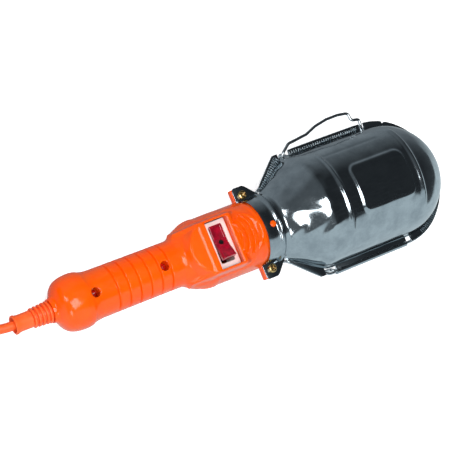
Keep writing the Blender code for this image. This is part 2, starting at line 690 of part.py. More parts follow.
def make_bulb(lamp):
    """Clear glass bulb on an E27 cap, with its stem and filament."""
    cap = [(-12.0, 0.0), (-12.0, 4.6), (-10.6, 5.6), (-8.6, 11.6), (-7.4, 12.9),
           (10.6, 12.9), (12.8, 14.0), (12.8, 12.2), (-6.8, 12.0), (-9.0, 4.0),
           (-9.0, 0.0)]
    item = add_part("bulb_cap", turned_mesh("bulb_cap", cap), MATERIALS["aluminium"], lamp)
    add_screw(item, 20)
    outer = [(13.1, 13.6), (18.0, 14.6), (27.0, 18.4), (37.0, 24.4), (46.0, 28.8)]
    outer += [(57.0 + 1.0 * x, r) for x, r in arc((0.0, 0.0), 30.0, 90.0, 0.0, 7)]
    wall = 0.9
    inner = [(57.0 + 1.0 * x, r) for x, r in arc((0.0, 0.0), 30.0 - wall, 0.0, 90.0, 7)]
    inner += [(46.3, 27.9), (37.4, 23.5), (27.3, 17.4), (18.0, 13.6), (13.1, 12.6)]
    item = add_part("bulb_glass", turned_mesh("bulb_glass", outer + inner, True),
                    MATERIALS["clear_glass"], lamp)
    add_screw(item, 18)
    stem = [(13.4, 0.0), (13.4, 11.6), (15.4, 10.4), (18.4, 5.0), (24.0, 3.2), (46.0, 2.2),
            (48.0, 1.0), (48.0, 0.0)]
    item = add_part("bulb_stem", turned_mesh("bulb_stem", stem), MATERIALS["clear_glass"],
                    lamp)
    add_screw(item, 14)
    filament = [(48.0, -3.4, 0.0), (54.0, -9.0, 0.0), (58.0, -13.0, 0.0), (61.0, -6.0, 0.0),
                (62.0, 0.0, 0.0), (61.0, 6.0, 0.0), (58.0, 13.0, 0.0), (54.0, 9.0, 0.0),
                (48.0, 3.4, 0.0)]
    wire_part("bulb_filament", smooth_path(filament, 3.0), 0.35, MATERIALS["tungsten"], lamp)


# ---------------------------------------------------------------- wiring inside the handle
def make_inside_wiring(lamp):
    """Cord jacket and its clamp in the tail, and the three single leads."""
    wire_part("cord_jacket_end", [(-184.0, 0, 0), (-160.0, 0, 0), (-141.0, 0, 0)], CORD_R,
              MATERIALS["orange_cord"], lamp)
    bar = add_part("cord_clamp_bar", box_mesh(
        "cord_clamp_bar", (-149.0, -12.0, CORD_R + GAP), (-143.0, 12.0, CORD_R + 2.6)),
        MATERIALS["white_plastic"], lamp)
    add_bevel(bar, 0.5, 1)
    for label, side in (("latch_side", 1), ("hinge_side", -1)):
        hole = add_cutter("clamp_bar_hole_" + label, rod_mesh(
            "clamp_bar_hole", 1.5, (-146, 9.0 * side, 0), (-146, 9.0 * side, 9), 12), lamp)
        add_boolean(bar, hole)
        make_machine_screw("cord_clamp_screw_" + label, MATERIALS["zinc_screw"], lamp,
                           (-146.0, 9.0 * side, CORD_R + 2.6 + GAP), (2.4, 1.6), 1.15, 15.0)
    leads = (
        ("lead_live", "brown_lead", [(-139.2, 1.6, 0.8), (-136, 5.0, 1.5), (-131, 8.4, 2.0),
                                     (-120, 8.6, 2.0), (-90, 8.6, 2.0), (-78, 9.0, 1.0),
                                     (-60, 9.0, -5.0), (-42, 9.2, -8.0), (-34, 8.0, -6.4)]),
        ("lead_neutral", "blue_lead", [(-139.2, -1.6, 0.8), (-136, -5.0, 1.5),
                                       (-131, -8.4, 2.0), (-120, -8.6, 2.0),
                                       (-78, -8.8, 0.0), (-60, -12.0, -8.0),
                                       (-40, -12.0, -12.0), (-24, -9.0, -8.0),
                                       (-21.0, -8.0, -5.0)]),
        ("lead_switched", "brown_lead", [(-34, -6.0, -5.6), (-32, -3.0, -8.6),
                                         (-28, 3.0, -9.0), (-24.0, 6.0, -5.0),
                                         (-21.0, 7.4, -1.0)]),
    )
    for name, colour, route in leads:
        wire_part(name, smooth_path(route, 9.0), 1.1, MATERIALS[colour], lamp)


# ---------------------------------------------------------------- cord, coil and plug
def sleeve_outline():
    """Rubber sleeve: flared mouth, plain tube, five rings, and the flange it is held by."""
    outline = [(SLEEVE_MOUTH_X, 5.2), (SLEEVE_MOUTH_X, 6.2), (-186.8, 6.6), (-185.4, 6.1),
               (-183.6, 5.8), (-175.2, 5.9)]
    for x, radius in ((-173.2, 6.9), (-170.3, 7.0), (-167.4, 7.2), (-164.5, 7.4),
                      (-161.9, 7.6)):
        outline += [(x - 0.9, radius - 0.9), (x, radius), (x + 0.9, radius - 0.9)]
    outline += [(-160.7, 6.3), (-157.1, 6.3), (-157.1, 8.3), (-154.6, 8.3), (-153.6, 6.0),
                (-153.6, CORD_R + GAP + 0.1), (-184.4, CORD_R + GAP + 0.1)]
    return outline


def make_sleeve(lamp):
    """The strain relief at the tail."""
    item = add_part("cord_sleeve", turned_mesh("cord_sleeve", sleeve_outline(), True),
                    MATERIALS["orange_rubber"], lamp)
    add_screw(item, COARSE)


# The cord's way from the sleeve to the coil, in the world's frame.
CORD_ROUTE = (
    (-170.6, -5.2, 14.35), (-174.0, -5.2, 13.9), (-178.0, -5.0, 13.3), (-183.0, -4.4, 12.3),
    (-188.0, -3.5, 11.1), (-193.0, -2.4, 9.7), (-198.0, -1.2, 8.3), (-203.0, 0.0, 6.9),
    (-208.0, 1.0, 5.8), (-212.4, 1.7, 5.1))


def coil_radii():
    """Inner and outer radius of the coil's solid."""
    half = COIL_COLUMNS * CORD_R + 0.1
    return COIL_MEAN_R - half, COIL_MEAN_R + half


def coil_heights():
    """Underside and top of the coil's solid; the tie passes under it."""
    low = TIE_THICKNESS + GAP
    return low, low + COIL_LAYERS * 2.0 * CORD_R + 0.2


def make_coil():
    """A turned ring for the wound cord, and the strap that ties it."""
    inner, outer = coil_radii()
    low, high = coil_heights()
    profile = [(low, inner), (low, outer - 2.0), (low + 2.0, outer), (high - 2.0, outer),
               (high, outer - 2.0), (high, inner)]
    coil = add_part("cord_coil", turned_mesh("cord_coil", profile, True),
                    MATERIALS["orange_cord"])
    coil.rotation_euler = Euler((0.0, math.radians(-90.0), 0.0))
    coil.location = mm(*COIL_CENTRE, 0.0)
    add_screw(coil, 36)
    margin = GAP + TIE_THICKNESS
    inside = inner - math.sqrt(inner ** 2 - (0.5 * TIE_WIDTH) ** 2)
    tie = add_part("cord_tie", box_mesh(
        "cord_tie", (inner - inside - margin, -0.5 * TIE_WIDTH, low - margin),
        (outer + margin, 0.5 * TIE_WIDTH, high + margin)), MATERIALS["black_strap"])
    hole = add_cutter("tie_hole", box_mesh(
        "tie_hole", (inner - inside - GAP, -TIE_WIDTH, low - GAP),
        (outer + GAP, TIE_WIDTH, high + GAP)))
    for item in (tie, hole):
        item.location = mm(*COIL_CENTRE, 0.0)
        item.rotation_euler = Euler((0.0, 0.0, math.radians(TIE_ANGLE)))
    add_boolean(tie, hole)


def plug_height():
    """Height of the plug's axis above the floor, lying on the coil."""
    return coil_heights()[1] + PLUG_HALF_HEIGHT + GAP


def cord_tail_path():
    """From the top of the coil, round its edge and into the plug's boot."""
    turn_r = PLUG_OFFSET_X + 49.0
    centre = (PLUG_OFFSET_X + turn_r, BOOT_START_Y)
    start_r, end_r = 51.0, turn_r - BOOT_START_Y
    path = []
    for i in range(7):
        t = i / 7.0
        angle = math.radians(-38.0 + (-84.0 + 38.0) * t)
        radius = start_r + (end_r - start_r) * t
        path.append((radius * math.cos(angle), radius * math.sin(angle)))
    path += arc(centre, turn_r, 270.0, 180.0, 6)
    low, high = coil_heights()[1] + CORD_R + GAP, plug_height()
    route = []
    for i, (x, y) in enumerate(path):
        t = i / (len(path) - 1)
        lift = t * t * (3.0 - 2.0 * t)
        route.append((COIL_CENTRE[0] + x, COIL_CENTRE[1] + y, low + (high - low) * lift))
    return route


def make_plug():
    """Moulded two-pin plug: tapered boot, grip body and two round pins."""
    x = COIL_CENTRE[0] + PLUG_OFFSET_X
    boot_y = COIL_CENTRE[1] + BOOT_START_Y + 2.5 * GAP
    body_y = boot_y + BOOT_LENGTH
    face_y = body_y + PLUG_LENGTH
    z = plug_height()
    outline = [(-PLUG_HALF_WIDTH + 1.6, face_y), (-PLUG_HALF_WIDTH, face_y - 2.4),
               (-PLUG_HALF_WIDTH + 0.8, face_y - 9.0), (-11.6, face_y - 19.0),
               (-9.4, face_y - 26.0), (-6.0, body_y)]
    outline += [(-px, py) for px, py in reversed(outline)]
    body = add_part("plug_body", plate_mesh(
        "plug_body", outline, -PLUG_HALF_HEIGHT, PLUG_HALF_HEIGHT), MATERIALS["orange_plastic"])
    body.location = mm(x, 0.0, z)
    add_bevel(body, 1.4)
    boot = add_cutter("plug_boot", rod_mesh(
        "plug_boot", 4.4, (0.0, boot_y, 0.0), (0.0, body_y + 2.0, 0.0), 16, 5.6))
    boot.location = body.location
    add_boolean(body, boot, "UNION")
    for label, side in (("left", -1), ("right", 1)):
        pin_x = x + side * 0.5 * PIN_SPACING
        add_part("plug_pin_" + label, rod_mesh(
            "plug_pin", PIN_R, (pin_x, face_y + GAP, z), (pin_x, face_y + PIN_LENGTH, z), 14),
            MATERIALS["nickel"])


def make_cord():
    """The cord from the sleeve to its plug."""
    wire_part("cord_tube", smooth_path(CORD_ROUTE, 5.0), CORD_R, MATERIALS["orange_cord"])
    make_coil()
    wire_part("cord_tail", cord_tail_path(), CORD_R, MATERIALS["orange_cord"])
    make_plug()


def main():
    """Build every sub-assembly under the lamp's pitched frame."""
    lamp = bpy.data.objects.new("lamp_frame", None)
    PARTS.objects.link(lamp)
    lamp.location = mm(*LAMP_SHIFT)
    lamp.rotation_euler = Euler((0.0, math.radians(-LIE_PITCH), 0.0))
    make_handle(lamp)
    make_switch(lamp)
    make_shell(lamp)
    make_guard(lamp)
    make_lampholder(lamp)
    make_bulb(lamp)
    make_inside_wiring(lamp)
    make_sleeve(lamp)
    make_cord()


clear_scene()
PARTS = make_collection("work_light")
CUTTERS = make_collection("work_light_cutters")
MATERIALS = {
    "orange_plastic": make_material("orange_plastic", (0.95, 0.17, 0.02), 0.32),
    "orange_rubber": make_material("orange_rubber", (0.90, 0.16, 0.03), 0.5),
    "orange_cord": make_material("orange_cord", (0.88, 0.16, 0.03), 0.42),
    "zinc_sheet": make_material("zinc_sheet", (0.62, 0.65, 0.68), 0.16, 1.0),
    "zinc_wire": make_material("zinc_wire", (0.58, 0.60, 0.62), 0.25, 1.0),
    "zinc_screw": make_material("zinc_screw", (0.6, 0.6, 0.58), 0.3, 1.0),
    "yellow_zinc": make_material("yellow_zinc", (0.72, 0.55, 0.28), 0.28, 1.0),
    "brass": make_material("brass", (0.75, 0.55, 0.22), 0.3, 1.0),
    "aluminium": make_material("aluminium", (0.78, 0.78, 0.76), 0.35, 1.0),
    "tungsten": make_material("tungsten", (0.3, 0.3, 0.3), 0.4, 1.0),
    "white_plastic": make_material("white_plastic", (0.86, 0.74, 0.70), 0.4),
    "white_ceramic": make_material("white_ceramic", (0.85, 0.83, 0.78), 0.25),
    "red_rocker": make_material("red_rocker", (0.45, 0.01, 0.03), 0.2, 0.0, 0.3),
    "clear_glass": make_material("clear_glass", (0.95, 0.95, 0.95), 0.03, 0.0, 0.95),
    "nickel": make_material("nickel", (0.72, 0.70, 0.66), 0.22, 1.0),
    "black_strap": make_material("black_strap", (0.02, 0.02, 0.02), 0.8),
    "brown_lead": make_material("brown_lead", (0.16, 0.07, 0.04), 0.45),
    "blue_lead": make_material("blue_lead", (0.05, 0.12, 0.45), 0.45),
}
main()
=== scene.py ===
"""Looks of a hand-held work light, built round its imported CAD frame.

Every piece is made in the lamp's own millimetres (x from tail to dome, y towards the
latch, z out of the switch side) and placed in its mesh, so each object stays at the
origin.  LampFrame turns those millimetres into the frame's metres.
"""

import enum
import json
import logging
import math
from dataclasses import dataclass, field

import bmesh
import bpy
import numpy as np
from mathutils import Matrix, Vector


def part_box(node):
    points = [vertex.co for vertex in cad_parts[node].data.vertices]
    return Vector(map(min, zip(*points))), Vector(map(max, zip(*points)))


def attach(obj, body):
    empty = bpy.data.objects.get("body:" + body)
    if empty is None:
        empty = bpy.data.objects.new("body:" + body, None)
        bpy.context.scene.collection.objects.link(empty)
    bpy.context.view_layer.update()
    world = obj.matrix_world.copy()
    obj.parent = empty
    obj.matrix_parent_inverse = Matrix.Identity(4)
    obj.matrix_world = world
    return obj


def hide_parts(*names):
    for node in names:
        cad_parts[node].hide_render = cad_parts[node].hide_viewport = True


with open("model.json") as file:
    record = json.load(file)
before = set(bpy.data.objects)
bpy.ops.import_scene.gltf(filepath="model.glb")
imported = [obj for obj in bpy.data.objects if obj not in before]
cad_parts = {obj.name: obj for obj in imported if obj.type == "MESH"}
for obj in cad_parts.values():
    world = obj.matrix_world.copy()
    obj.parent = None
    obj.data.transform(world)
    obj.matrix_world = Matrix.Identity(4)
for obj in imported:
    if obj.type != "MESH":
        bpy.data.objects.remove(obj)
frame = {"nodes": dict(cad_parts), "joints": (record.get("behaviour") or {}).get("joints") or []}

Object = bpy.types.Object
Socket = bpy.types.NodeSocket
Tree = bpy.types.NodeTree

LOG = logging.getLogger("work_light")
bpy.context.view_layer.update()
MM = 0.001                       # a millimetre in metres
METRE = 1000.0                   # a metre in millimetres
GAP = 0.3                        # clearance between neighbouring pieces, mm
CUT_SHARP = 38.0                 # edges of cut pieces stay sharp above this, degrees

# What several pieces share, in the lamp's millimetres.
ROCKER_PIVOT = (-33.8, 0.0, 14.8)
WINDOW_X = (-42.7, -24.9)        # ends of the switch's window
WINDOW_HALF_Y = 17.2
EAR_SCREW = (3.8, 28.0)          # x, and y on either side
NUB_X = 6.6                      # the nub on the handle that the shade's hole fits
GUARD_HINGE = (-47.3, -1.25)     # y and z of the hinge line


class Body(str, enum.Enum):
    """The bodies that the frame moves."""

    LAMP = "root"
    GUARD = "guard"
    LATCH = "latch"
    ROCKER = "rocker"


# ---- frames and curves
@dataclass(frozen=True)
class LampFrame:
    """Where the lamp's own axes lie in the frame."""

    origin: Vector
    x_axis: Vector
    y_axis: Vector
    z_axis: Vector

    @classmethod
    def from_joints(cls, joints: list, pivot_mm: tuple) -> "LampFrame":
        """Read the lamp's axes off the rocker's hinge, which runs along the handle.

        Args:
            joints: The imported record's joints.
            pivot_mm: The rocker's pivot in the lamp's own millimetres.

        Returns:
            The lamp's frame.
        """
        tilt = next(joint for joint in joints if joint["name"] == "switch_tilt")
        x_axis = Vector(tilt["axis"]).normalized()
        y_axis = Vector((0.0, 1.0, 0.0))
        z_axis = x_axis.cross(y_axis)
        offset = sum((axis * size * MM for axis, size in
                      zip((x_axis, y_axis, z_axis), pivot_mm)), Vector())
        return cls(Vector(tilt["pos_m"]) - offset, x_axis, y_axis, z_axis)

    def matrix(self) -> Matrix:
        """Lamp millimetres to frame metres."""
        turn = Matrix((self.x_axis, self.y_axis, self.z_axis)).transposed().to_4x4()
        return Matrix.Translation(self.origin) @ turn @ Matrix.Scale(MM, 4)


LAMP = LampFrame.from_joints(frame["joints"], ROCKER_PIVOT)
LAMP_SPACE = LAMP.matrix()
FRAME_SPACE = Matrix.Scale(MM, 4)


def arc(centre: tuple, radius: float, start: float, end: float, count: int) -> list:
    """Points on a flat arc.

    Args:
        centre: The arc's centre.
        radius: Its radius.
        start: First angle, degrees.
        end: Last angle, degrees.
        count: Number of steps.

    Returns:
        A list of pairs.
    """
    angles = np.radians(np.linspace(start, end, count + 1))
    return [(centre[0] + radius * math.cos(a), centre[1] + radius * math.sin(a)) for a in angles]


def smooth_line(knots: list, positions: np.ndarray) -> np.ndarray:
    """A curve through (x, value) knots that never overshoots them.

    Args:
        knots: Pairs in rising x.
        positions: Where to read the curve.

    Returns:
        The curve's values.
    """
    x, y = np.array(knots, float).T
    step, slope = np.diff(x), np.diff(y) / np.diff(x)
    tangent = np.zeros_like(y)
    left, right = slope[:-1], slope[1:]
    same = left * right > 0
    weight = (2 * step[1:] + step[:-1], step[1:] + 2 * step[:-1])
    inner = np.zeros_like(left)
    total = weight[0] + weight[1]
    inner[same] = total[same] / (weight[0][same] / left[same] + weight[1][same] / right[same])
    tangent[1:-1] = inner
    tangent[0], tangent[-1] = slope[0], slope[-1]
    i = np.clip(np.searchsorted(x, positions) - 1, 0, len(x) - 2)
    t = np.clip((positions - x[i]) / step[i], 0.0, 1.0)
    return (y[i] * (1 + 2 * t) * (1 - t) ** 2 + tangent[i] * step[i] * t * (1 - t) ** 2
            + y[i + 1] * t * t * (3 - 2 * t) - tangent[i + 1] * step[i] * t * t * (1 - t))


def smooth_step(low: float, high: float, value: np.ndarray) -> np.ndarray:
    """0 below low, 1 above high and a soft ramp between."""
    t = np.clip((value - low) / (high - low), 0.0, 1.0)
    return t * t * (3 - 2 * t)


def even_path(points: list, step: float) -> list:
    """Points about a step apart on a Catmull-Rom curve through the route.

    Args:
        points: The route's own points.
        step: Wanted spacing.

    Returns:
        A list of vectors.
    """
    knots = [Vector(point) for point in points]
    ends = [knots[0] * 2.0 - knots[1]] + knots + [knots[-1] * 2.0 - knots[-2]]
    path = []
    for i in range(1, len(ends) - 2):
        before, first, last, after = ends[i - 1:i + 3]
        count = max(1, round((last - first).length / step))
        for j in range(count):
            t = j / count
            path.append(0.5 * (2.0 * first + (last - before) * t
                               + (2.0 * before - 5.0 * first + 4.0 * last - after) * t ** 2
                               + (3.0 * first - before - 3.0 * last + after) * t ** 3))
    path.append(knots[-1])
    return path


def bend(before: Vector, corner: Vector, after: Vector, radius: float, pieces: int) -> list:
    """The round bend that takes a corner's place.

    Args:
        before: The point before the corner.
        corner: The corner.
        after: The point after it.
        radius: Wanted bend radius; a short leg makes it tighter.
        pieces: Steps in the bend.

    Returns:
        A list of vectors.
    """
    towards, away = (before - corner).normalized(), (after - corner).normalized()
    half = 0.5 * towards.angle(away)
    reach = min(radius / max(abs(math.tan(half)), 0.01), 0.45 * (before - corner).length,
                0.45 * (after - corner).length)
    start, end = corner + towards * reach, corner + away * reach
    return [start * (1 - t) ** 2 + corner * 2 * t * (1 - t) + end * t ** 2
            for t in (i / pieces for i in range(pieces + 1))]


def bent_path(points: list, radius: float) -> list:
    """An open wire through corner points, as vectors, with each corner bent round.

    Args:
        points: Corner points.
        radius: Bend radius.

    Returns:
        The wire as vectors.
    """
    corners = [Vector(point) for point in points]
    path = [corners[0]]
    for before, corner, after in zip(corners, corners[1:], corners[2:]):
        path += bend(before, corner, after, radius, 8)
    return path + [corners[-1]]


def round_corners(outline: list, radius: float, pieces: int = 4) -> list:
    """A closed outline of pairs with each corner rounded.

    Args:
        outline: Corner pairs.
        radius: Corner radius.
        pieces: Steps in each corner.

    Returns:
        Pairs round the outline.
    """
    corners = [Vector((x, y, 0.0)) for x, y in outline]
    path = []
    for i, corner in enumerate(corners):
        for point in bend(corners[i - 1], corner, corners[(i + 1) % len(corners)], radius, pieces):
            if not path or (path[-1] - point).length > 0.01:
                path.append(point)
    return [(point.x, point.y) for point in path]


def full_turn(count: int) -> np.ndarray:
    """Even angles once round, in radians."""
    return np.linspace(0.0, 2.0 * math.pi, count, endpoint=False)


# ---- mesh making
class Draft:
    """A mesh being drafted from grids, turned shapes and plates."""

    def __init__(self) -> None:
        """Start with nothing."""
        self.points: list = []
        self.faces: list = []

    def add_grid(self, grid: np.ndarray, wrap_rows: bool = False,
                 wrap_columns: bool = False, cap_rows: bool = False) -> None:
        """Add a rows x columns grid of points as quads.

        Args:
            grid: Points with shape (rows, columns, 3).
            wrap_rows: Join the last row to the first.
            wrap_columns: Join the last column to the first.
            cap_rows: Close the first and last rows with one face each.
        """
        rows, columns = grid.shape[:2]
        base = len(self.points)
        self.points.extend(map(tuple, grid.reshape(-1, 3)))
        row_count = rows if wrap_rows else rows - 1
        column_count = columns if wrap_columns else columns - 1
        for i in range(row_count):
            here, there = base + i * columns, base + (i + 1) % rows * columns
            for j in range(column_count):
                k = (j + 1) % columns
                self.faces.append((here + j, here + k, there + k, there + j))
        if cap_rows:
            self.faces.append(tuple(base + j for j in range(columns))[::-1])
            self.faces.append(tuple(base + (rows - 1) * columns + j for j in range(columns)))

    def add_turned(self, profile: list, steps: int = 64, axis: str = "X",
                   centre: tuple = (0.0, 0.0, 0.0), closed: bool = False) -> None:
        """Add a turned shape.

        Args:
            profile: (along, radius) pairs; open ends at radius 0 meet the axis.
            steps: Steps round the axis.
            axis: X, Y or Z.
            centre: A point on the axis.
            closed: The profile is a ring, as on a tube with a wall.
        """
        along, radius = np.array(profile, float).T
        radius = np.maximum(radius, 0.0)
        angle = full_turn(steps)
        first = radius[:, None] * np.cos(angle)
        second = radius[:, None] * np.sin(angle)
        line = np.repeat(along[:, None], steps, 1)
        order = {"X": (line, first, second), "Y": (second, line, first), "Z": (first, second, line)}[axis]
        grid = np.stack(order, -1) + np.array(centre)
        self.add_grid(grid, wrap_rows=closed, wrap_columns=True)

    def add_plate(self, outline: list, low: float, high: float, bevel: float = 0.0) -> None:
        """Add a flat plate from an outline in XY, its rims bevelled.

        Args:
            outline: Pairs round the outline.
            low: Underside.
            high: Top.
            bevel: Width of the rounded rim.
        """
        flat = np.array(outline, float)
        ahead, behind = np.roll(flat, -1, 0) - flat, flat - np.roll(flat, 1, 0)
        turn = (ahead / np.linalg.norm(ahead, axis=1)[:, None]
                + behind / np.linalg.norm(behind, axis=1)[:, None])
        turn /= np.linalg.norm(turn, axis=1)[:, None]
        area = np.sum(flat[:, 0] * np.roll(flat[:, 1], -1) - flat[:, 1] * np.roll(flat[:, 0], -1))
        inward = np.stack((-turn[:, 1], turn[:, 0]), 1) * (1.0 if area > 0 else -1.0)
        rings = [(low, bevel), (low + 0.3 * bevel, 0.3 * bevel), (low + bevel, 0.0),
                 (high - bevel, 0.0), (high - 0.3 * bevel, 0.3 * bevel), (high, bevel)]
        if bevel == 0.0:
            rings = [(low, 0.0), (high, 0.0)]
        grid = np.array([[(*(flat[j] + inward[j] * inset), z) for j in range(len(flat))]
                         for z, inset in rings])
        self.add_grid(grid, wrap_columns=True, cap_rows=True)

    def add_box(self, low: tuple, high: tuple, bevel: float = 0.4) -> None:
        """Add a box with rounded rims between two corners."""
        outline = [(low[0], low[1]), (high[0], low[1]), (high[0], high[1]), (low[0], high[1])]
        self.add_plate(round_corners(outline, bevel * 1.5), low[2], high[2], bevel)

    def to_object(self, name: str, space: Matrix = LAMP_SPACE, sharp: float = 40.0) -> Object:
        """Make the mesh, with faces outwards and its place in its vertices.

        Args:
            name: The piece's name.
            space: From the draft's millimetres to the frame's metres.
            sharp: Edges above this angle stay sharp, degrees.

        Returns:
            The new object, at the origin.
        """
        mesh = bpy.data.meshes.new(name)
        mesh.from_pydata(self.points, [], self.faces)
        shape = bmesh.new()
        shape.from_mesh(mesh)
        bmesh.ops.remove_doubles(shape, verts=shape.verts, dist=0.0005)
        bmesh.ops.dissolve_degenerate(shape, edges=shape.edges, dist=0.0002)
        bmesh.ops.recalc_face_normals(shape, faces=shape.faces)
        bmesh.ops.transform(shape, matrix=space, verts=shape.verts)
        shape.to_mesh(mesh)
        shape.free()
        smooth_shade(mesh, sharp)
        return add_object(name, mesh)


def smooth_shade(mesh: bpy.types.Mesh, sharp: float) -> None:
    """Smooth a mesh, but for its edges above an angle in degrees."""
    mesh.shade_smooth()
    mesh.set_sharp_from_angle(angle=math.radians(sharp))


def add_object(name: str, data: bpy.types.ID) -> Object:
    """A new object at the origin, linked to the scene.

    Args:
        name: The object's name.
        data: Its mesh, light or camera.

    Returns:
        The object.
    """
    item = bpy.data.objects.new(name, data)
    bpy.context.scene.collection.objects.link(item)
    return item


def turned(name: str, profile: list, steps: int = 64, axis: str = "X",
           centre: tuple = (0.0, 0.0, 0.0), closed: bool = False,
           space: Matrix = LAMP_SPACE, sharp: float = 40.0) -> Object:
    """One turned shape as an object.

    Args:
        name: The piece's name.
        profile: What Draft.add_turned takes, as the next four are.
        steps: Steps round the axis.
        axis: X, Y or Z.
        centre: A point on the axis.
        closed: The profile is a ring.
        space: What Draft.to_object takes, as the next is.
        sharp: Degrees.

    Returns:
        The new object.
    """
    draft = Draft()
    draft.add_turned(profile, steps, axis, centre, closed)
    return draft.to_object(name, space, sharp)


def peg(label: str, place: tuple, radius: float, span: tuple, steps: int) -> Object:
    """A round cutter along Z.

    Args:
        label: What it cuts.
        place: Its x and y.
        radius: Its radius.
        span: Its low and high ends.
        steps: Steps round it.

    Returns:
        The cutter.
    """
    low, high = span
    return turned("cutter_" + label, [(low, 0.0), (low, radius), (high, radius), (high, 0.0)],
                  steps, "Z", (*place, 0.0))


def settle_modifiers(item: Object) -> Object:
    """Turn an object's modifiers into its mesh.

    Args:
        item: The object.

    Returns:
        The same object.
    """
    bpy.context.view_layer.update()
    graph = bpy.context.evaluated_depsgraph_get()
    mesh = bpy.data.meshes.new_from_object(item.evaluated_get(graph))
    mesh.name = item.name
    item.modifiers.clear()
    item.data = mesh
    return item


def cut(item: Object, cutters: list, union: bool = False) -> None:
    """Cut with, or join, the cutters, which are then removed.

    Args:
        item: The piece.
        cutters: Closed objects.
        union: Join them and don't cut.
    """
    for cutter in cutters:
        boolean = item.modifiers.new("boolean", "BOOLEAN")
        boolean.operation = "UNION" if union else "DIFFERENCE"
        boolean.object = cutter
    settle_modifiers(item)
    for cutter in cutters:
        bpy.data.objects.remove(cutter, do_unlink=True)
    smooth_shade(item.data, CUT_SHARP)


def join(item: Object, others: list) -> Object:
    """Add the others' meshes to the item's as separate closed bodies.

    Args:
        item: The piece.
        others: What joins it; these objects are removed.

    Returns:
        The piece.
    """
    shape = bmesh.new()
    shape.from_mesh(item.data)
    for other in others:
        shape.from_mesh(other.data)
        bpy.data.objects.remove(other, do_unlink=True)
    shape.to_mesh(item.data)
    shape.free()
    smooth_shade(item.data, CUT_SHARP)
    return item


def feed(tree: Tree, node: bpy.types.Node, inputs: dict) -> None:
    """Fill a node's sockets.

    Args:
        tree: The node's tree.
        node: The node.
        inputs: Socket name or number to a value, or to a socket to link from.
    """
    for key, value in inputs.items():
        if isinstance(value, Socket):
            tree.links.new(value, node.inputs[key])
        else:
            node.inputs[key].default_value = value


def add_node(tree: Tree, kind: str, inputs: dict | None = None, **settings) -> bpy.types.Node:
    """Add a node with its settings and what goes into its sockets.

    Args:
        tree: A shader or geometry tree.
        kind: The node's type name.
        inputs: What feed puts into its sockets.
        **settings: The node's own properties.

    Returns:
        The new node.
    """
    node = tree.nodes.new(kind)
    for key, value in settings.items():
        setattr(node, key, value)
    feed(tree, node, inputs or {})
    return node


# ---- finishes
def linear(code: str) -> tuple:
    """An sRGB hex colour as linear RGBA."""
    parts = [int(code[i:i + 2], 16) / 255.0 for i in (1, 3, 5)]
    return (*[c / 12.92 if c <= 0.04045 else ((c + 0.055) / 1.055) ** 2.4 for c in parts], 1.0)


def object_point(tree: Tree) -> Socket:
    """The surface point in the piece's own metres."""
    return add_node(tree, "ShaderNodeTexCoord").outputs["Object"]


def noise(tree: Tree, size_mm: float, detail: float = 3.0,
          stretch: tuple = (1.0, 1.0, 1.0), roughness: float = 0.5) -> Socket:
    """Noise whose lumps have a size in millimetres.

    Args:
        tree: The material's tree.
        size_mm: Size of a lump.
        detail: Octaves.
        stretch: Scale along each axis.
        roughness: How strong the finer octaves are.

    Returns:
        The noise's value socket.
    """
    place = add_node(tree, "ShaderNodeMapping", {
        "Vector": object_point(tree), "Scale": tuple(s / (size_mm * MM) for s in stretch)})
    return add_node(tree, "ShaderNodeTexNoise", {
        "Vector": place.outputs[0], "Scale": 1.0, "Detail": detail,
        "Roughness": roughness}).outputs[0]


def ramp(tree: Tree, value: Socket, low: float, high: float,
         out_low: float = 0.0, out_high: float = 1.0) -> Socket:
    """The value's range low..high turned into out_low..out_high.

    Args:
        tree: The tree.
        value: The value to read.
        low: Start of the range read.
        high: Its end.
        out_low: Start of the range given.
        out_high: Its end.

    Returns:
        The new value.
    """
    return add_node(tree, "ShaderNodeMapRange", {
        "Value": value, "From Min": low, "From Max": high, "To Min": out_low,
        "To Max": out_high}).outputs[0]


def maths(tree: Tree, operation: str, first: Socket, second: Socket) -> Socket:
    """Two values put through a Math node."""
    return add_node(tree, "ShaderNodeMath", {0: first, 1: second}, operation=operation).outputs[0]


def blend_colours(tree: Tree, share: Socket, *colours: str | Socket) -> Socket:
    """Two colours, each a hex code or a socket, mixed by a value.

    Args:
        tree: The tree.
        share: 0 gives the first colour, 1 the second.
        *colours: The two colours.

    Returns:
        The mixed colour.
    """
    first, second = (linear(c) if isinstance(c, str) else c for c in colours)
    mix = add_node(tree, "ShaderNodeMix", {0: share, 6: first, 7: second}, data_type="RGBA")
    return mix.outputs[2]


def bump(tree: Tree, height: Socket, depth_mm: float, below: Socket | None = None) -> Socket:
    """A bump of a real depth, on top of another one.

    Args:
        tree: The tree.
        height: Height between 0 and 1.
        depth_mm: Depth of height 1.
        below: The normal under it.

    Returns:
        The new normal.
    """
    inputs = {"Height": height, "Strength": 1.0, "Distance": depth_mm * MM}
    if below is not None:
        inputs["Normal"] = below
    return add_node(tree, "ShaderNodeBump", inputs).outputs[0]


@dataclass(frozen=True)
class Finish:
    """A surface: its material's name and how it is made."""

    name: str

    def dress(self, shader: bpy.types.Node, tree: Tree) -> None:
        """Set the shader; each finish has its own way."""
        raise NotImplementedError

    def material(self) -> bpy.types.Material:
        """The finish's material, made once.

        Returns:
            The material.
        """
        found = bpy.data.materials.get(self.name)
        if found:
            return found
        made = bpy.data.materials.new(self.name)
        made.use_nodes = True
        tree = made.node_tree
        tree.nodes.clear()
        shader = add_node(tree, "ShaderNodeBsdfPrincipled")
        add_node(tree, "ShaderNodeOutputMaterial", {"Surface": shader.outputs[0]})
        self.dress(shader, tree)
        return made


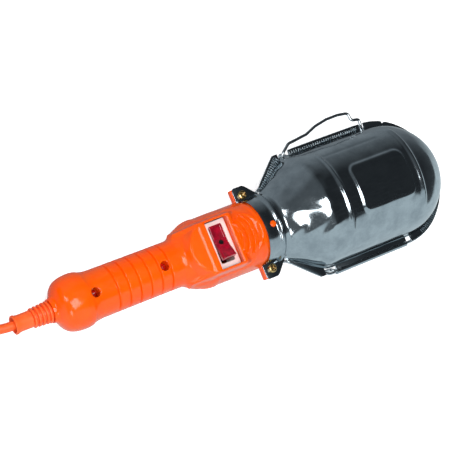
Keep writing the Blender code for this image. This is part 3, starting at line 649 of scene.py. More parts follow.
@dataclass(frozen=True)
class MouldedPlastic(Finish):
    """Injection-moulded plastic: gloss with slow waves, faint flow colour and fine scuffs."""

    colour: str
    shade: str
    gloss: float = 0.28
    wave_mm: float = 14.0
    wave_depth_mm: float = 0.02
    scuff_depth_mm: float = 0.006
    soft_light: float = 0.0
    specular: float = 0.5

    def dress(self, shader: bpy.types.Node, tree: Tree) -> None:
        """Flow marks in the colour, scuffs in the roughness, sink waves in the bump.

        Args:
            shader: The Principled node.
            tree: The material's tree.
        """
        flow = ramp(tree, noise(tree, 22.0, 2.0), 0.3, 0.7)
        # Handling scuffs a few millimetres long dull the gloss a little.
        scuffs = noise(tree, 2.6, 6.0, (0.35, 1.0, 1.0), 0.62)
        waves = bump(tree, noise(tree, self.wave_mm, 1.0), self.wave_depth_mm)
        feed(tree, shader, {
            "Base Color": blend_colours(tree, flow, self.colour, self.shade),
            "Roughness": ramp(tree, scuffs, 0.35, 0.75, self.gloss - 0.04, self.gloss + 0.08),
            # Mould texture is about 0.1 mm; drawn at 0.5 mm so that it shows.
            "Normal": bump(tree, noise(tree, 0.5, 2.0), self.scuff_depth_mm, waves),
            "IOR": 1.53, "Specular IOR Level": self.specular})
        if self.soft_light:
            feed(tree, shader, {"Subsurface Weight": self.soft_light,
                                "Subsurface Scale": 1.2 * MM,
                                "Subsurface Radius": (1.0, 0.35, 0.12)})


@dataclass(frozen=True)
class Metal(Finish):
    """Plated or drawn metal: clouded tint, drawing streaks and a rolled ripple."""

    colour: str
    shade: str
    smooth: float
    rough: float
    cloud_mm: float = 9.0
    streak_mm: float = 1.2
    streak: tuple = (0.12, 1.0, 1.0)
    ripple_mm: float = 26.0
    ripple_depth_mm: float = 0.0
    grain_depth_mm: float = 0.002

    def dress(self, shader: bpy.types.Node, tree: Tree) -> None:
        """Clouds in tint and roughness, streaks and ripple in the bump.

        Args:
            shader: The Principled node.
            tree: The material's tree.
        """
        clouds = noise(tree, self.cloud_mm, 5.0, roughness=0.6)
        streaks = noise(tree, self.streak_mm, 4.0, self.streak)
        both = maths(tree, "MULTIPLY", clouds, streaks)
        normal = bump(tree, streaks, self.grain_depth_mm)
        if self.ripple_depth_mm:
            normal = bump(tree, noise(tree, self.ripple_mm, 1.0), self.ripple_depth_mm, normal)
        feed(tree, shader, {
            "Base Color": blend_colours(tree, ramp(tree, clouds, 0.35, 0.65), self.colour,
                                        self.shade),
            "Roughness": ramp(tree, both, 0.12, 0.42, self.smooth, self.rough),
            "Normal": normal, "Metallic": 1.0})


@dataclass(frozen=True)
class Rubber(Finish):
    """Soft PVC or rubber: satin, with a fine matt grain and faint lengthwise marks."""

    colour: str
    shade: str
    roughness: float = 0.42

    def dress(self, shader: bpy.types.Node, tree: Tree) -> None:
        """Mottle in the colour and roughness, a fine grain in the bump.

        Args:
            shader: The Principled node.
            tree: The material's tree.
        """
        mottle = ramp(tree, noise(tree, 7.0, 4.0), 0.3, 0.7)
        feed(tree, shader, {
            "Base Color": blend_colours(tree, mottle, self.colour, self.shade),
            "Roughness": ramp(tree, mottle, 0.0, 1.0, self.roughness - 0.05,
                              self.roughness + 0.07),
            "Normal": bump(tree, noise(tree, 0.4, 2.0), 0.01),
            "IOR": 1.5, "Subsurface Weight": 0.08, "Subsurface Scale": 1.0 * MM})


@dataclass(frozen=True)
class BlownGlass(Finish):
    """Clear blown glass, a little uneven in thickness."""

    def dress(self, shader: bpy.types.Node, tree: Tree) -> None:
        """A clear shader with the slow waves of blown glass.

        Args:
            shader: The Principled node.
            tree: The material's tree.
        """
        feed(tree, shader, {
            "Normal": bump(tree, noise(tree, 12.0, 1.0), 0.02),
            # A little dust in patches.
            "Roughness": ramp(tree, noise(tree, 5.0, 4.0), 0.45, 0.8, 0.0, 0.06),
            "Base Color": linear("#FBFDFD"), "Transmission Weight": 1.0, "IOR": 1.48})


@dataclass(frozen=True)
class RockerPlastic(Finish):
    """Clear-tinted polycarbonate of a lit rocker, dark where it is thick."""

    def dress(self, shader: bpy.types.Node, tree: Tree) -> None:
        """Deep crimson with a clear top coat and faint clouding.

        Args:
            shader: The Principled node.
            tree: The material's tree.
        """
        clouds = ramp(tree, noise(tree, 3.0, 3.0), 0.3, 0.7)
        feed(tree, shader, {
            "Base Color": blend_colours(tree, clouds, "#C20A30", "#8E0522"),
            "Roughness": ramp(tree, clouds, 0.0, 1.0, 0.1, 0.2),
            "Normal": bump(tree, noise(tree, 1.2, 2.0), 0.01),
            "Transmission Weight": 0.25, "IOR": 1.58, "Coat Weight": 0.6,
            "Coat Roughness": 0.05})


@dataclass(frozen=True)
class WovenStrap(Finish):
    """Hook-and-loop strap: black nylon with a looped pile."""

    def dress(self, shader: bpy.types.Node, tree: Tree) -> None:
        """Loops 0.7 mm apart in colour and bump.

        Args:
            shader: The Principled node.
            tree: The material's tree.
        """
        place = add_node(tree, "ShaderNodeMapping", {
            "Vector": object_point(tree), "Scale": (1.0 / (0.7 * MM),) * 3})
        loops = add_node(tree, "ShaderNodeTexVoronoi", {
            "Vector": place.outputs[0], "Scale": 1.0}).outputs[0]
        feed(tree, shader, {
            "Base Color": blend_colours(tree, loops, "#1B1B1D", "#060607"),
            "Normal": bump(tree, loops, 0.15), "Roughness": 0.85, "Sheen Weight": 0.4})


@dataclass(frozen=True)
class Backdrop(Finish):
    """Matt white studio paper."""

    def dress(self, shader: bpy.types.Node, tree: Tree) -> None:
        """Nearly even white with the tooth of paper.

        Args:
            shader: The Principled node.
            tree: The material's tree.
        """
        tooth = noise(tree, 3.0, 3.0)
        feed(tree, shader, {
            "Base Color": blend_colours(tree, tooth, "#FCFCFC", "#F8F8F8"),
            "Roughness": 0.9, "Specular IOR Level": 0.1,
            # Lit from below, as on a light table, so shadows stay faint.
            "Emission Color": linear("#FFFFFF"), "Emission Strength": 0.55})


ORANGE_ABS = MouldedPlastic("orange_abs_moulded", "#FF5600", "#FC5C04", 0.15, soft_light=0.2,
                            specular=0.36)
ORANGE_PVC_SLEEVE = Rubber("orange_pvc_sleeve", "#FF6A2A", "#F95F20", 0.38)
ORANGE_PVC_CORD = Rubber("orange_pvc_cord", "#F9621F", "#EE5718", 0.4)
BRIGHT_ZINC_SHEET = Metal("bright_zinc_pressed_sheet", "#AEB8BD", "#98A2A8", 0.07, 0.21,
                          cloud_mm=11.0, ripple_mm=19.0, ripple_depth_mm=0.04)
BRIGHT_ZINC_WIRE = Metal("bright_zinc_drawn_wire", "#D2D8DC", "#A4ABB0", 0.12, 0.3,
                         cloud_mm=4.0, streak_mm=0.6)
ZINC_SCREW = Metal("zinc_plated_screw_steel", "#B8B8B4", "#8F8F8C", 0.18, 0.4, cloud_mm=1.5)
# The handle's two deep zinc screws are coloured dark red: painted shade and painted orange reflection of
# their wells, not a finish of the screws.
WELL_SHADE_RED = MouldedPlastic("red_lacquer_on_screws", "#C4190C", "#A81208", 0.2)
# Black disc in the rocker's dimple: painted shade of the deep dimple.
DIMPLE_PAINTED_SHADE = MouldedPlastic("black_nylon", "#14100F", "#0C0908", 0.4)
YELLOW_ZINC = Metal("yellow_passivated_zinc_steel", "#E2C583", "#A98A5B", 0.15, 0.36,
                    cloud_mm=1.3, streak_mm=0.4)
BRASS = Metal("stamped_brass", "#D6A95A", "#B98A40", 0.16, 0.36, cloud_mm=3.0)
LAMP_CAP = Metal("rolled_aluminium_lamp_cap", "#D9D9D6", "#BDBDBA", 0.2, 0.4, cloud_mm=3.0)
TUNGSTEN = Metal("coiled_tungsten_wire", "#6E6E70", "#4C4C4E", 0.3, 0.5, cloud_mm=1.0)
NICKEL = Metal("nickel_plated_brass_pin", "#D6D2C9", "#BDB8AD", 0.12, 0.3, cloud_mm=2.0)
BEZEL_NYLON = MouldedPlastic("white_nylon_bezel", "#F6DEDA", "#F0D2CF", 0.34, 6.0, 0.01)
PORCELAIN = MouldedPlastic("glazed_porcelain", "#ECE7DC", "#E2DCCF", 0.12, 9.0, 0.05, 0.004)
BROWN_LEAD = Rubber("brown_pvc_lead", "#5A3020", "#4A2618", 0.35)
BLUE_LEAD = Rubber("blue_pvc_lead", "#1B3F94", "#163378", 0.35)
GLASS = BlownGlass("clear_blown_glass")
ROCKER_RED = RockerPlastic("crimson_clear_polycarbonate")
STRAP = WovenStrap("black_loop_strap")
PAPER = Backdrop("white_studio_paper")


def settle(item: Object, finish: Finish, body: Body, slot: str, *nodes: str) -> Object:
    """Dress a piece, put it on its body and let it stand for its CAD nodes.

    Args:
        item: The finished piece.
        finish: Its surface.
        body: The body that it moves with.
        slot: The record's material slot; not used.
        *nodes: CAD nodes that it replaces.

    Returns:
        The same piece.
    """
    if not item.data.materials:
        item.data.materials.append(finish.material())
    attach(item, body.value)
    if nodes:
        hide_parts(*nodes)
    LOG.info("%s: %d faces", item.name, len(item.data.polygons))
    return item


def join_in_two(item: Object, extra: Object, *finishes: Finish) -> Object:
    """Join a second mesh to a piece, each in a finish of its own.

    Args:
        item: The piece.
        extra: The mesh that joins it.
        *finishes: The piece's finish, then the other mesh's.

    Returns:
        The same piece.
    """
    for finish in finishes:
        item.data.materials.append(finish.material())
    faces = len(item.data.polygons)
    join(item, [extra])
    for i, polygon in enumerate(item.data.polygons):
        polygon.material_index = int(i >= faces)
    return item


# ---- geometry node trees
def new_tree(name: str, sockets: list) -> tuple:
    """A geometry tree with a Geometry input and output and named number inputs.

    Args:
        name: The tree's name.
        sockets: (name, socket type, default) triples.

    Returns:
        The tree, its group input node and a dict of socket name to identifier.
    """
    tree = bpy.data.node_groups.new(name, "GeometryNodeTree")
    tree.interface.new_socket("Geometry", in_out="INPUT", socket_type="NodeSocketGeometry")
    tree.interface.new_socket("Geometry", in_out="OUTPUT", socket_type="NodeSocketGeometry")
    names = {}
    for label, kind, default in sockets:
        socket = tree.interface.new_socket(label, in_out="INPUT", socket_type=kind)
        if default is not None:
            socket.default_value = default
        names[label] = socket.identifier
    return tree, tree.nodes.new("NodeGroupInput"), names


def close_tree(tree: Tree, geometry: Socket, finish: Finish) -> None:
    """End a tree in Realize Instances and Set Material.

    Args:
        tree: The tree.
        geometry: What it has made.
        finish: Its surface.
    """
    real = add_node(tree, "GeometryNodeRealizeInstances", {"Geometry": geometry})
    dressed = add_node(tree, "GeometryNodeSetMaterial", {
        "Geometry": real.outputs[0], "Material": finish.material()})
    add_node(tree, "NodeGroupOutput", {"Geometry": dressed.outputs[0]})


def run_tree(item: Object, tree: Tree, names: dict, values: dict) -> Object:
    """Run a tree on an object and keep its result as a plain mesh.

    Args:
        item: A mesh of points or edges, in metres, at the origin.
        tree: The geometry tree.
        names: Socket name to identifier.
        values: Socket name to value.

    Returns:
        The same object with the result as its mesh.
    """
    modifier = item.modifiers.new("make", "NODES")
    modifier.node_group = tree
    for label, value in values.items():
        modifier[names[label]] = value
    settle_modifiers(item)
    smooth_shade(item.data, 50.0)
    return item


def line_object(name: str, lines: list, space: Matrix) -> Object:
    """Open polylines as an object of edges, in the frame's metres.

    Args:
        name: The object's name.
        lines: Lists of points, or single points.
        space: From the points' units to metres.

    Returns:
        The object.
    """
    points, edges = [], []
    for line in lines:
        base = len(points)
        points += [tuple(space @ Vector(point)) for point in line]
        edges += [(base + i, base + i + 1) for i in range(len(line) - 1)]
    mesh = bpy.data.meshes.new(name)
    mesh.from_pydata(points, edges, [])
    return add_object(name, mesh)


@dataclass
class WireMaker:
    """Round wire swept along a path by Geometry Nodes."""

    trees: dict = field(default_factory=dict)

    def tree_for(self, finish: Finish) -> tuple:
        """The sweeping tree in one finish, made once.

        Args:
            finish: The wire's surface.

        Returns:
            The tree and its sockets by name.
        """
        if finish.name not in self.trees:
            tree, group, names = new_tree("sweep_" + finish.name, [
                ("Radius", "NodeSocketFloat", 0.001), ("Sides", "NodeSocketInt", 16)])
            curve = add_node(tree, "GeometryNodeMeshToCurve", {"Mesh": group.outputs[0]})
            ring = add_node(tree, "GeometryNodeCurvePrimitiveCircle", {
                "Resolution": group.outputs["Sides"], "Radius": group.outputs["Radius"]})
            swept = add_node(tree, "GeometryNodeCurveToMesh", {
                "Curve": curve.outputs[0], "Profile Curve": ring.outputs[0],
                "Fill Caps": True})
            close_tree(tree, swept.outputs[0], finish)
            self.trees[finish.name] = (tree, names)
        return self.trees[finish.name]

    def sweep(self, name: str, path: list, radius_mm: float, finish: Finish,
              space: Matrix = LAMP_SPACE, sides: int = 16) -> Object:
        """Sweep a wire along one path.

        Args:
            name: The piece's name.
            path: Points in millimetres.
            radius_mm: The wire's radius.
            finish: Its surface.
            space: The path's space.
            sides: Sides of its section.

        Returns:
            The wire as a plain mesh.
        """
        tree, names = self.tree_for(finish)
        item = line_object(name, [path], space)
        return run_tree(item, tree, names, {"Radius": radius_mm * MM, "Sides": sides})


WIRES = WireMaker()


def copies_on_points(name: str, model: Object, points: list, turns: list, finish: Finish) -> Object:
    """Copies of a small model on points, by Geometry Nodes.

    Args:
        name: The piece's name.
        model: The model, about its own origin in metres; it is removed afterwards.
        points: Places in the lamp's millimetres.
        turns: A turn about the model's own Z for each point, radians.
        finish: The copies' surface.

    Returns:
        One mesh with every copy.
    """
    tree, group, names = new_tree("copies_" + name, [
        ("Model", "NodeSocketObject", None), ("Lean", "NodeSocketFloat", 0.0)])
    item = line_object(name, [[point] for point in points], LAMP_SPACE)
    attribute = item.data.attributes.new("turn", "FLOAT", "POINT")
    attribute.data.foreach_set("value", turns)
    info = add_node(tree, "GeometryNodeObjectInfo", {"Object": group.outputs["Model"]})
    turn = add_node(tree, "GeometryNodeInputNamedAttribute", {"Name": "turn"}, data_type="FLOAT")
    angles = add_node(tree, "ShaderNodeCombineXYZ", {"Y": group.outputs["Lean"], "Z": turn.outputs[0]})
    placed = add_node(tree, "GeometryNodeInstanceOnPoints", {
        "Points": group.outputs[0], "Instance": info.outputs["Geometry"]})
    local = add_node(tree, "GeometryNodeRotateInstances", {
        "Instances": placed.outputs[0], "Rotation": angles.outputs[0]})
    close_tree(tree, local.outputs[0], finish)
    lean = -math.atan2(LAMP.x_axis.z, LAMP.x_axis.x)
    run_tree(item, tree, names, {"Model": model, "Lean": lean})
    bpy.data.objects.remove(model, do_unlink=True)
    return item


# ---- handle
@dataclass
class Handle:
    """Two moulded half shells, their screws, the nub and the ears."""

    tail_x: float = -160.4
    spigot_r: float = 22.7
    spigot_end_x: float = 14.0
    wall: float = 2.6
    split: float = 0.15
    groove_first_x: float = -116.0
    groove_pitch: float = 8.3
    groove_count: int = 6
    groove_depth: float = 1.35
    crown_flat: float = 0.05
    plate_z: float = 23.9
    pad_z: float = 24.6
    pad_x: tuple = (-47.4, -22.6)
    pad_half_y: float = 18.6
    window_z: tuple = (17.4, 22.2)
    well_x: tuple = (-131.6, -78.0)
    well_r: float = 3.5
    plate_centre_x: float = -41.0
    plate_half: tuple = (9.0, 21.8)
    plate_r: float = 25.3
    disc_r: float = 18.2
    plate_front_r: float = 30.4
    rib_centre_x: float = -38.0
    ribs: tuple = ((18.6, 10.0), (22.6, 12.5), (27.0, 14.5))
    rib_height: float = 1.9
    scoop_r: float = 30.2
    scoop_half_y: float = 15.5
    scoop_width: float = 5.6
    scoop_depth: float = 2.3
    back_grid: tuple = (420, 149)
    front_grid: tuple = (300, 99)
    bisections: int = 22
    soften_passes: int = 4
    nub_r: float = 2.2
    nub_top: float = 24.8
    # How steeply the raised parts fall away at their edges.
    wrap_slope: float = 1.6
    disc_slope: float = 2.6
    pad_slope: float = 1.1
    side_slope: float = 6.0

    def body_radius(self, x: np.ndarray) -> np.ndarray:
        """Radius of the turned body, with its six stepped grip grooves.

        Args:
            x: Places along the handle.

        Returns:
            The radii there.
        """
        knots = [(self.tail_x, 8.3), (-158.9, 8.7), (-157.6, 9.6), (-156.2, 12.0),
                 (-154.2, 15.2), (-150.6, 18.0), (-145.4, 19.4), (-140.4, 19.75),
                 (-136.6, 19.3), (-133.4, 18.1), (-130.0, 17.4), (-126.0, 17.1),
                 (-100.0, 17.0), (-69.0, 16.9), (-65.2, 17.0), (-62.6, 17.8), (-60.0, 19.2),
                 (-57.0, 21.1), (-53.6, 22.6), (-49.5, 23.5), (-44.0, 24.1), (-36.0, 24.7),
                 (-27.0, 24.8), (-17.0, 24.5), (-8.0, 24.2), (-3.6, 23.9), (-1.4, 23.3),
                 (-0.3, self.spigot_r), (self.spigot_end_x, self.spigot_r)]
        radius = smooth_line(knots, x)
        for i in range(self.groove_count):
            along = x - (self.groove_first_x + self.groove_pitch * i)
            steep = smooth_step(-0.7, -0.1, along)
            slow = 1.0 - smooth_step(-0.1, 1.25, along)
            radius = radius - self.groove_depth * steep * slow
        return radius

    def raised_height(self, x: np.ndarray, y: np.ndarray) -> np.ndarray:
        """Height of the switch's plate and pad over a point, low outside both.

        Args:
            x: Places along the handle.
            y: Places across it.

        Returns:
            The heights there.
        """
        long, wide = self.plate_half
        oval = np.hypot((x - self.plate_centre_x) / long, y / wide)
        outside = np.where(x < self.plate_centre_x, (oval - 1.0) * long, np.abs(y) - wide)
        front = np.hypot(x - self.rib_centre_x, y) - self.plate_front_r
        outside = np.maximum(outside, np.where(x > self.rib_centre_x, 0.2 * front, -9.0))
        cap = np.sqrt(np.maximum(self.plate_r ** 2 - y ** 2, 0.0))
        wrap = np.minimum(cap, self.plate_z) - self.wrap_slope * np.maximum(outside, 0.0)
        # The flat D-shaped step on the tail side of the pad.
        disc = np.hypot(x - self.plate_centre_x, y) - self.disc_r
        disc = np.maximum(disc, x - self.pad_x[0] - 3.0)
        past_side = np.maximum(np.abs(y) - 17.4, 0.0)
        drop = self.disc_slope * np.maximum(disc, 0.0) + self.side_slope * past_side
        plate = np.maximum(wrap, self.plate_z - drop)
        past_x = np.maximum(self.pad_x[0] - x, x - self.pad_x[1])
        past_y = np.abs(y) - self.pad_half_y
        fall = self.pad_slope * np.maximum(past_x, 0.0)
        pad = self.pad_z - fall - self.side_slope * np.maximum(past_y, 0.0)
        return np.maximum(plate, pad)

    def relief(self, x: np.ndarray, y: np.ndarray) -> np.ndarray:
        """The arc ribs, the scoop and the rounded lip of the window, in mm outwards.

        Args:
            x: Places along the handle.
            y: Places across it.

        Returns:
            What to add there, mm.
        """
        reach = np.hypot(x - self.rib_centre_x, y)
        dome_side = x > WINDOW_X[1] + 1.5
        total = np.zeros_like(x)
        for radius, half_y in self.ribs:
            across = np.clip(1.0 - ((reach - radius) / 0.85) ** 2, 0.0, 1.0)
            ends = 1.0 - smooth_step(half_y - 1.4, half_y + 0.4, np.abs(y))
            total += np.where(dome_side, self.rib_height * across ** 0.6 * ends, 0.0)
        bow = np.clip(1.0 - (y / self.scoop_half_y) ** 2, 0.0, 1.0)
        t = (reach - self.scoop_r) / np.maximum(self.scoop_width * bow, 0.3)
        dip = smooth_step(0.0, 0.16, t) * (1.0 - smooth_step(0.16, 1.0, t))
        total -= np.where(dome_side, self.scoop_depth * bow * dip, 0.0)
        past = np.maximum(np.maximum(WINDOW_X[0] - x, x - WINDOW_X[1]), np.abs(y) - WINDOW_HALF_Y)
        total -= 0.35 * (1.0 - smooth_step(0.0, 0.8, past))
        for well in self.well_x:
            rim = np.hypot(x - well, y) - self.well_r
            total -= 0.25 * (1.0 - smooth_step(0.0, 0.6, rim))
        return total

    def skin(self, x: np.ndarray, angle: np.ndarray) -> np.ndarray:
        """Radius of the switch side's outside at (x, angle from +Z).

        Args:
            x: Stations, shape (rows, 1).
            angle: Angles, shape (1, columns).

        Returns:
            Radii, shape (rows, columns).
        """
        x, angle = np.broadcast_arrays(x, angle)
        head = smooth_step(-64.0, -50.0, x) * (1.0 - smooth_step(-7.0, -2.0, x))
        body = self.body_radius(x) * (1.0 - self.crown_flat * head * np.cos(angle) ** 4)
        low, high = body.copy(), body + 11.0
        for _ in range(self.bisections):
            probe = 0.5 * (low + high)
            inside = probe * np.cos(angle) <= self.raised_height(x, probe * np.sin(angle))
            low, high = np.where(inside, probe, low), np.where(inside, high, probe)
        radius = self.soften(np.where((x > -62.0) & (x < -4.0), low, body), x)
        return radius + self.relief(x, radius * np.sin(angle)) * (np.cos(angle) > 0.3)

    def soften(self, radius: np.ndarray, x: np.ndarray) -> np.ndarray:
        """Round the edges of the raised parts as a mould does.

        Args:
            radius: Radii, in rows along the handle.
            x: Their stations.

        Returns:
            The softened radii.
        """
        head = smooth_step(-66.0, -62.0, x) * (1.0 - smooth_step(-6.5, -4.0, x))
        blurred = radius
        for _ in range(self.soften_passes):
            for way in (0, 1):
                blurred = (np.roll(blurred, 1, way) + blurred + np.roll(blurred, -1, way)) / 3.0
        return radius * (1.0 - head) + blurred * head

    def stations(self, rows: int) -> np.ndarray:
        """Places along the handle, crowded where the grooves turn sharply.

        Args:
            rows: How many evenly spaced places there are.

        Returns:
            A column of x values.
        """
        even = np.linspace(self.tail_x, self.spigot_end_x, rows)
        groove = np.linspace(-0.9, 1.5, 14)
        fine = [self.groove_first_x + self.groove_pitch * i + groove for i in range(self.groove_count)]
        return np.unique(np.round(np.concatenate([even, *fine]), 3))[:, None]

    def half_shell(self, side: int, rows: int, columns: int) -> Draft:
        """One half shell as a closed C-shaped section drawn along the lamp.

        Args:
            side: 1 for the switch side, -1 for the bulb side.
            rows: Stations along the handle.
            columns: Steps round its outside.

        Returns:
            The draft.
        """
        x = self.stations(rows)
        angle = np.radians(np.linspace(-90.0, 90.0, columns))[None, :]
        if side > 0:
            outer = self.skin(x, angle)
        else:
            outer = np.repeat(self.body_radius(x), columns, 1)
        inner_angle = np.radians(np.linspace(90.0, -90.0, 17))[None, :]
        inside = np.minimum(self.body_radius(x), self.spigot_r + 1.3) - self.wall
        inner = np.repeat(np.maximum(inside, 6.6), 17, 1)
        turn = np.concatenate([np.repeat(angle, len(x), 0), np.repeat(inner_angle, len(x), 0)], 1)
        radius = np.concatenate([outer, inner], 1)
        height = np.maximum(radius * np.cos(turn), 0.0) + self.split
        grid = np.stack([np.repeat(x, radius.shape[1], 1), radius * np.sin(turn), side * height], -1)
        draft = Draft()
        draft.add_grid(grid, wrap_columns=True, cap_rows=True)
        return draft

    def boss(self, draft: Draft, x: float, side: int) -> None:
        """A screw boss inside a shell, with its counterbore on the switch side.

        Args:
            draft: The draft that it is added to.
            x: Its place.
            side: 1 for the switch side, -1 for the bulb side.
        """
        bore = self.well_r + 0.08
        ring = [(0.45, 5.1), (13.9, 5.1), (13.9, bore), (8.0, bore), (8.0, 1.8), (0.45, 1.8)]
        draft.add_turned([(side * z, r) for z, r in ring], 32, "Z", (x, 0.0, 0.0), True)

    def window_lining(self, draft: Draft) -> None:
        """The moulded frame that carries the window's walls down to the switch.

        Args:
            draft: The draft that it is added to.
        """
        low, high = self.window_z
        rings = [(0.0, low), (1.4, low), (1.4, high), (0.0, high)]
        x0, x1, y = *WINDOW_X, WINDOW_HALF_Y
        corners = [(x0, -y, -1, -1), (x1, -y, 1, -1), (x1, y, 1, 1), (x0, y, -1, 1)]
        grid = np.array([[(cx + sx * out, cy + sy * out, z) for out, z in rings]
                         for cx, cy, sx, sy in corners])
        draft.add_grid(grid, wrap_rows=True, wrap_columns=True)

    def back(self) -> Object:
        """The switch side: window, wells, lining, bosses and nub.

        Returns:
            The shell.
        """
        item = self.half_shell(1, *self.back_grid).to_object("handle_back")
        low, high = 10.0, 34.0
        window = Draft()
        window.add_box((WINDOW_X[0], -WINDOW_HALF_Y, low), (WINDOW_X[1], WINDOW_HALF_Y, high), 0.5)
        cutters = [window.to_object("cutter_window")]
        cutters += [peg(f"well_{x:.0f}", (x, 0.0), self.well_r, (low, high), 48) for x in self.well_x]
        cut(item, cutters)
        extra = Draft()
        for x in self.well_x:
            self.boss(extra, x, 1)
        self.window_lining(extra)
        radius, top = self.nub_r, self.nub_top
        extra.add_turned([(21.8, 0.0), (21.8, radius), (top - 0.7, radius),
                          (top - 0.2, radius - 0.4), (top, radius - 1.1), (top, 0.0)],
                         32, "Z", (NUB_X, 0.0, 0.0))
        return join(item, [extra.to_object("handle_back_extra")])

    def front(self) -> Object:
        """The bulb side: plain shell with two ears and bosses.

        Returns:
            The shell.
        """
        item = self.half_shell(-1, *self.front_grid).to_object("handle_front")
        outline = [(-3.2, 21.0), (-3.2, 34.0), (6.2, 34.0), (10.4, 29.0), (10.4, 21.0)]
        ears = []
        for side in (1, -1):
            ear = Draft()
            ear.add_plate(round_corners([(x, y * side) for x, y in outline], 0.9), -5.2, -self.split, 0.6)
            ears.append(ear.to_object(f"ear_{side}"))
        cut(item, ears, union=True)
        x, y = EAR_SCREW
        cut(item, [peg(f"ear_{s}", (x, y * s), 2.2, (-9.0, 4.0), 48) for s in (1, -1)])
        extra = Draft()
        for well in self.well_x:
            self.boss(extra, well, -1)
        return join(item, [extra.to_object("handle_front_extra")])

    def build(self) -> None:
        """Both shells and every screw and nut on them."""
        settle(self.back(), ORANGE_ABS, Body.LAMP, "orange_plastic", "handle_back_shell")
        settle(self.front(), ORANGE_ABS, Body.LAMP, "orange_plastic", "handle_front_shell")
        x, y = EAR_SCREW
        sides = ("latch_side", "hinge_side")
        for name, model, points, turns, finish, slot, nodes in (
                # The two deep screws take the red of painted well shade and reflected orange.
                ("handle_screws", PanHeadScrew(3.0, 2.2, 1.4, 17.0).model(),
                 [(well, 0.0, 8.3) for well in self.well_x], [0.3, 0.9], WELL_SHADE_RED,
                 "zinc_screw", ("handle_screw_tail", "handle_screw_grip")),
                ("ear_screws", PanHeadScrew(3.2, 2.2, 1.7, 12.0).model(),
                 [(x, y, 1.15), (x, -y, 1.15)], [0.5, 1.2], YELLOW_ZINC, "yellow_zinc",
                 ["ear_screw_" + side for side in sides]),
                ("ear_nuts", hexagon_nut(), [(x, y, -5.5), (x, -y, -5.5)], [0.0, 0.4],
                 YELLOW_ZINC, "yellow_zinc", ["ear_nut_" + side for side in sides])):
            item = copies_on_points(name, model, points, turns, finish)
            settle(item, finish, Body.LAMP, slot, *nodes)


@dataclass
class PanHeadScrew:
    """A cross-recessed pan-head screw, head up, its seat at the origin."""

    head_r: float
    head_h: float
    shank_r: float
    drop: float
    pitch: float = 0.7

    def model(self) -> Object:
        """The screw about its own origin, in metres.

        Returns:
            The screw.
        """
        radii = np.concatenate([np.linspace(0.0, self.head_r * 0.6, 14),
                                np.linspace(self.head_r * 0.66, self.head_r, 8)])
        angle = full_turn(56)
        r, a = np.meshgrid(radii, angle, indexing="ij")
        x, y = r * np.cos(a), r * np.sin(a)
        dome = self.head_h - 0.75 * (r / self.head_r) ** 4
        half, arm = 0.42, self.head_r * 0.56
        wing = np.minimum(np.maximum(np.abs(x) / half, np.abs(y) / arm),
                          np.maximum(np.abs(y) / half, np.abs(x) / arm))
        depth = 1.1 * (1.0 - 0.45 * r / arm) * (1.0 - smooth_step(0.85, 1.15, wing))
        top = np.stack([x, y, dome - np.maximum(depth, 0.0)], -1)
        ring = np.array([[(radius * math.cos(t), radius * math.sin(t), z) for t in angle]
                         for radius, z in [(self.head_r, 0.25)] + self.thread()])
        draft = Draft()
        draft.add_grid(np.concatenate([top, ring]), wrap_columns=True)
        return draft.to_object("screw", FRAME_SPACE)

    def thread(self) -> list:
        """Radius and height down the underside and the threaded shank.

        Returns:
            (radius, height) pairs.
        """
        rows = [(self.head_r - 0.2, 0.0), (self.shank_r, 0.0)]
        for i in range(int(self.drop / self.pitch)):
            z = -0.3 - self.pitch * i
            rows += [(self.shank_r - 0.22, z), (self.shank_r, z - 0.5 * self.pitch)]
        return rows + [(0.5, -self.drop), (0.0, -self.drop)]


def hexagon_nut() -> Object:
    """A chamfered hexagon nut hanging below its origin, in metres.

    Returns:
        The nut.
    """
    across, height, bore = 7.0, 3.0, 2.0
    rows = [(-height, 0.86), (-height + 0.45, 1.0), (-0.45, 1.0), (0.0, 0.86)]
    angle = full_turn(48)
    flat = 0.5 * across / np.cos((angle + math.pi / 6) % (math.pi / 3) - math.pi / 6)
    corner = 0.5 * across * 1.155
    rings = [(np.minimum(flat, corner * share), z) for z, share in rows]
    rings += [(np.full_like(flat, bore), z) for z in (0.0, -height)]
    grid = [[(r * math.cos(a), r * math.sin(a), z) for r, a in zip(radii, angle)] for radii, z in rings]
    draft = Draft()
    draft.add_grid(np.array(grid), wrap_rows=True, wrap_columns=True)
    return draft.to_object("nut", FRAME_SPACE)


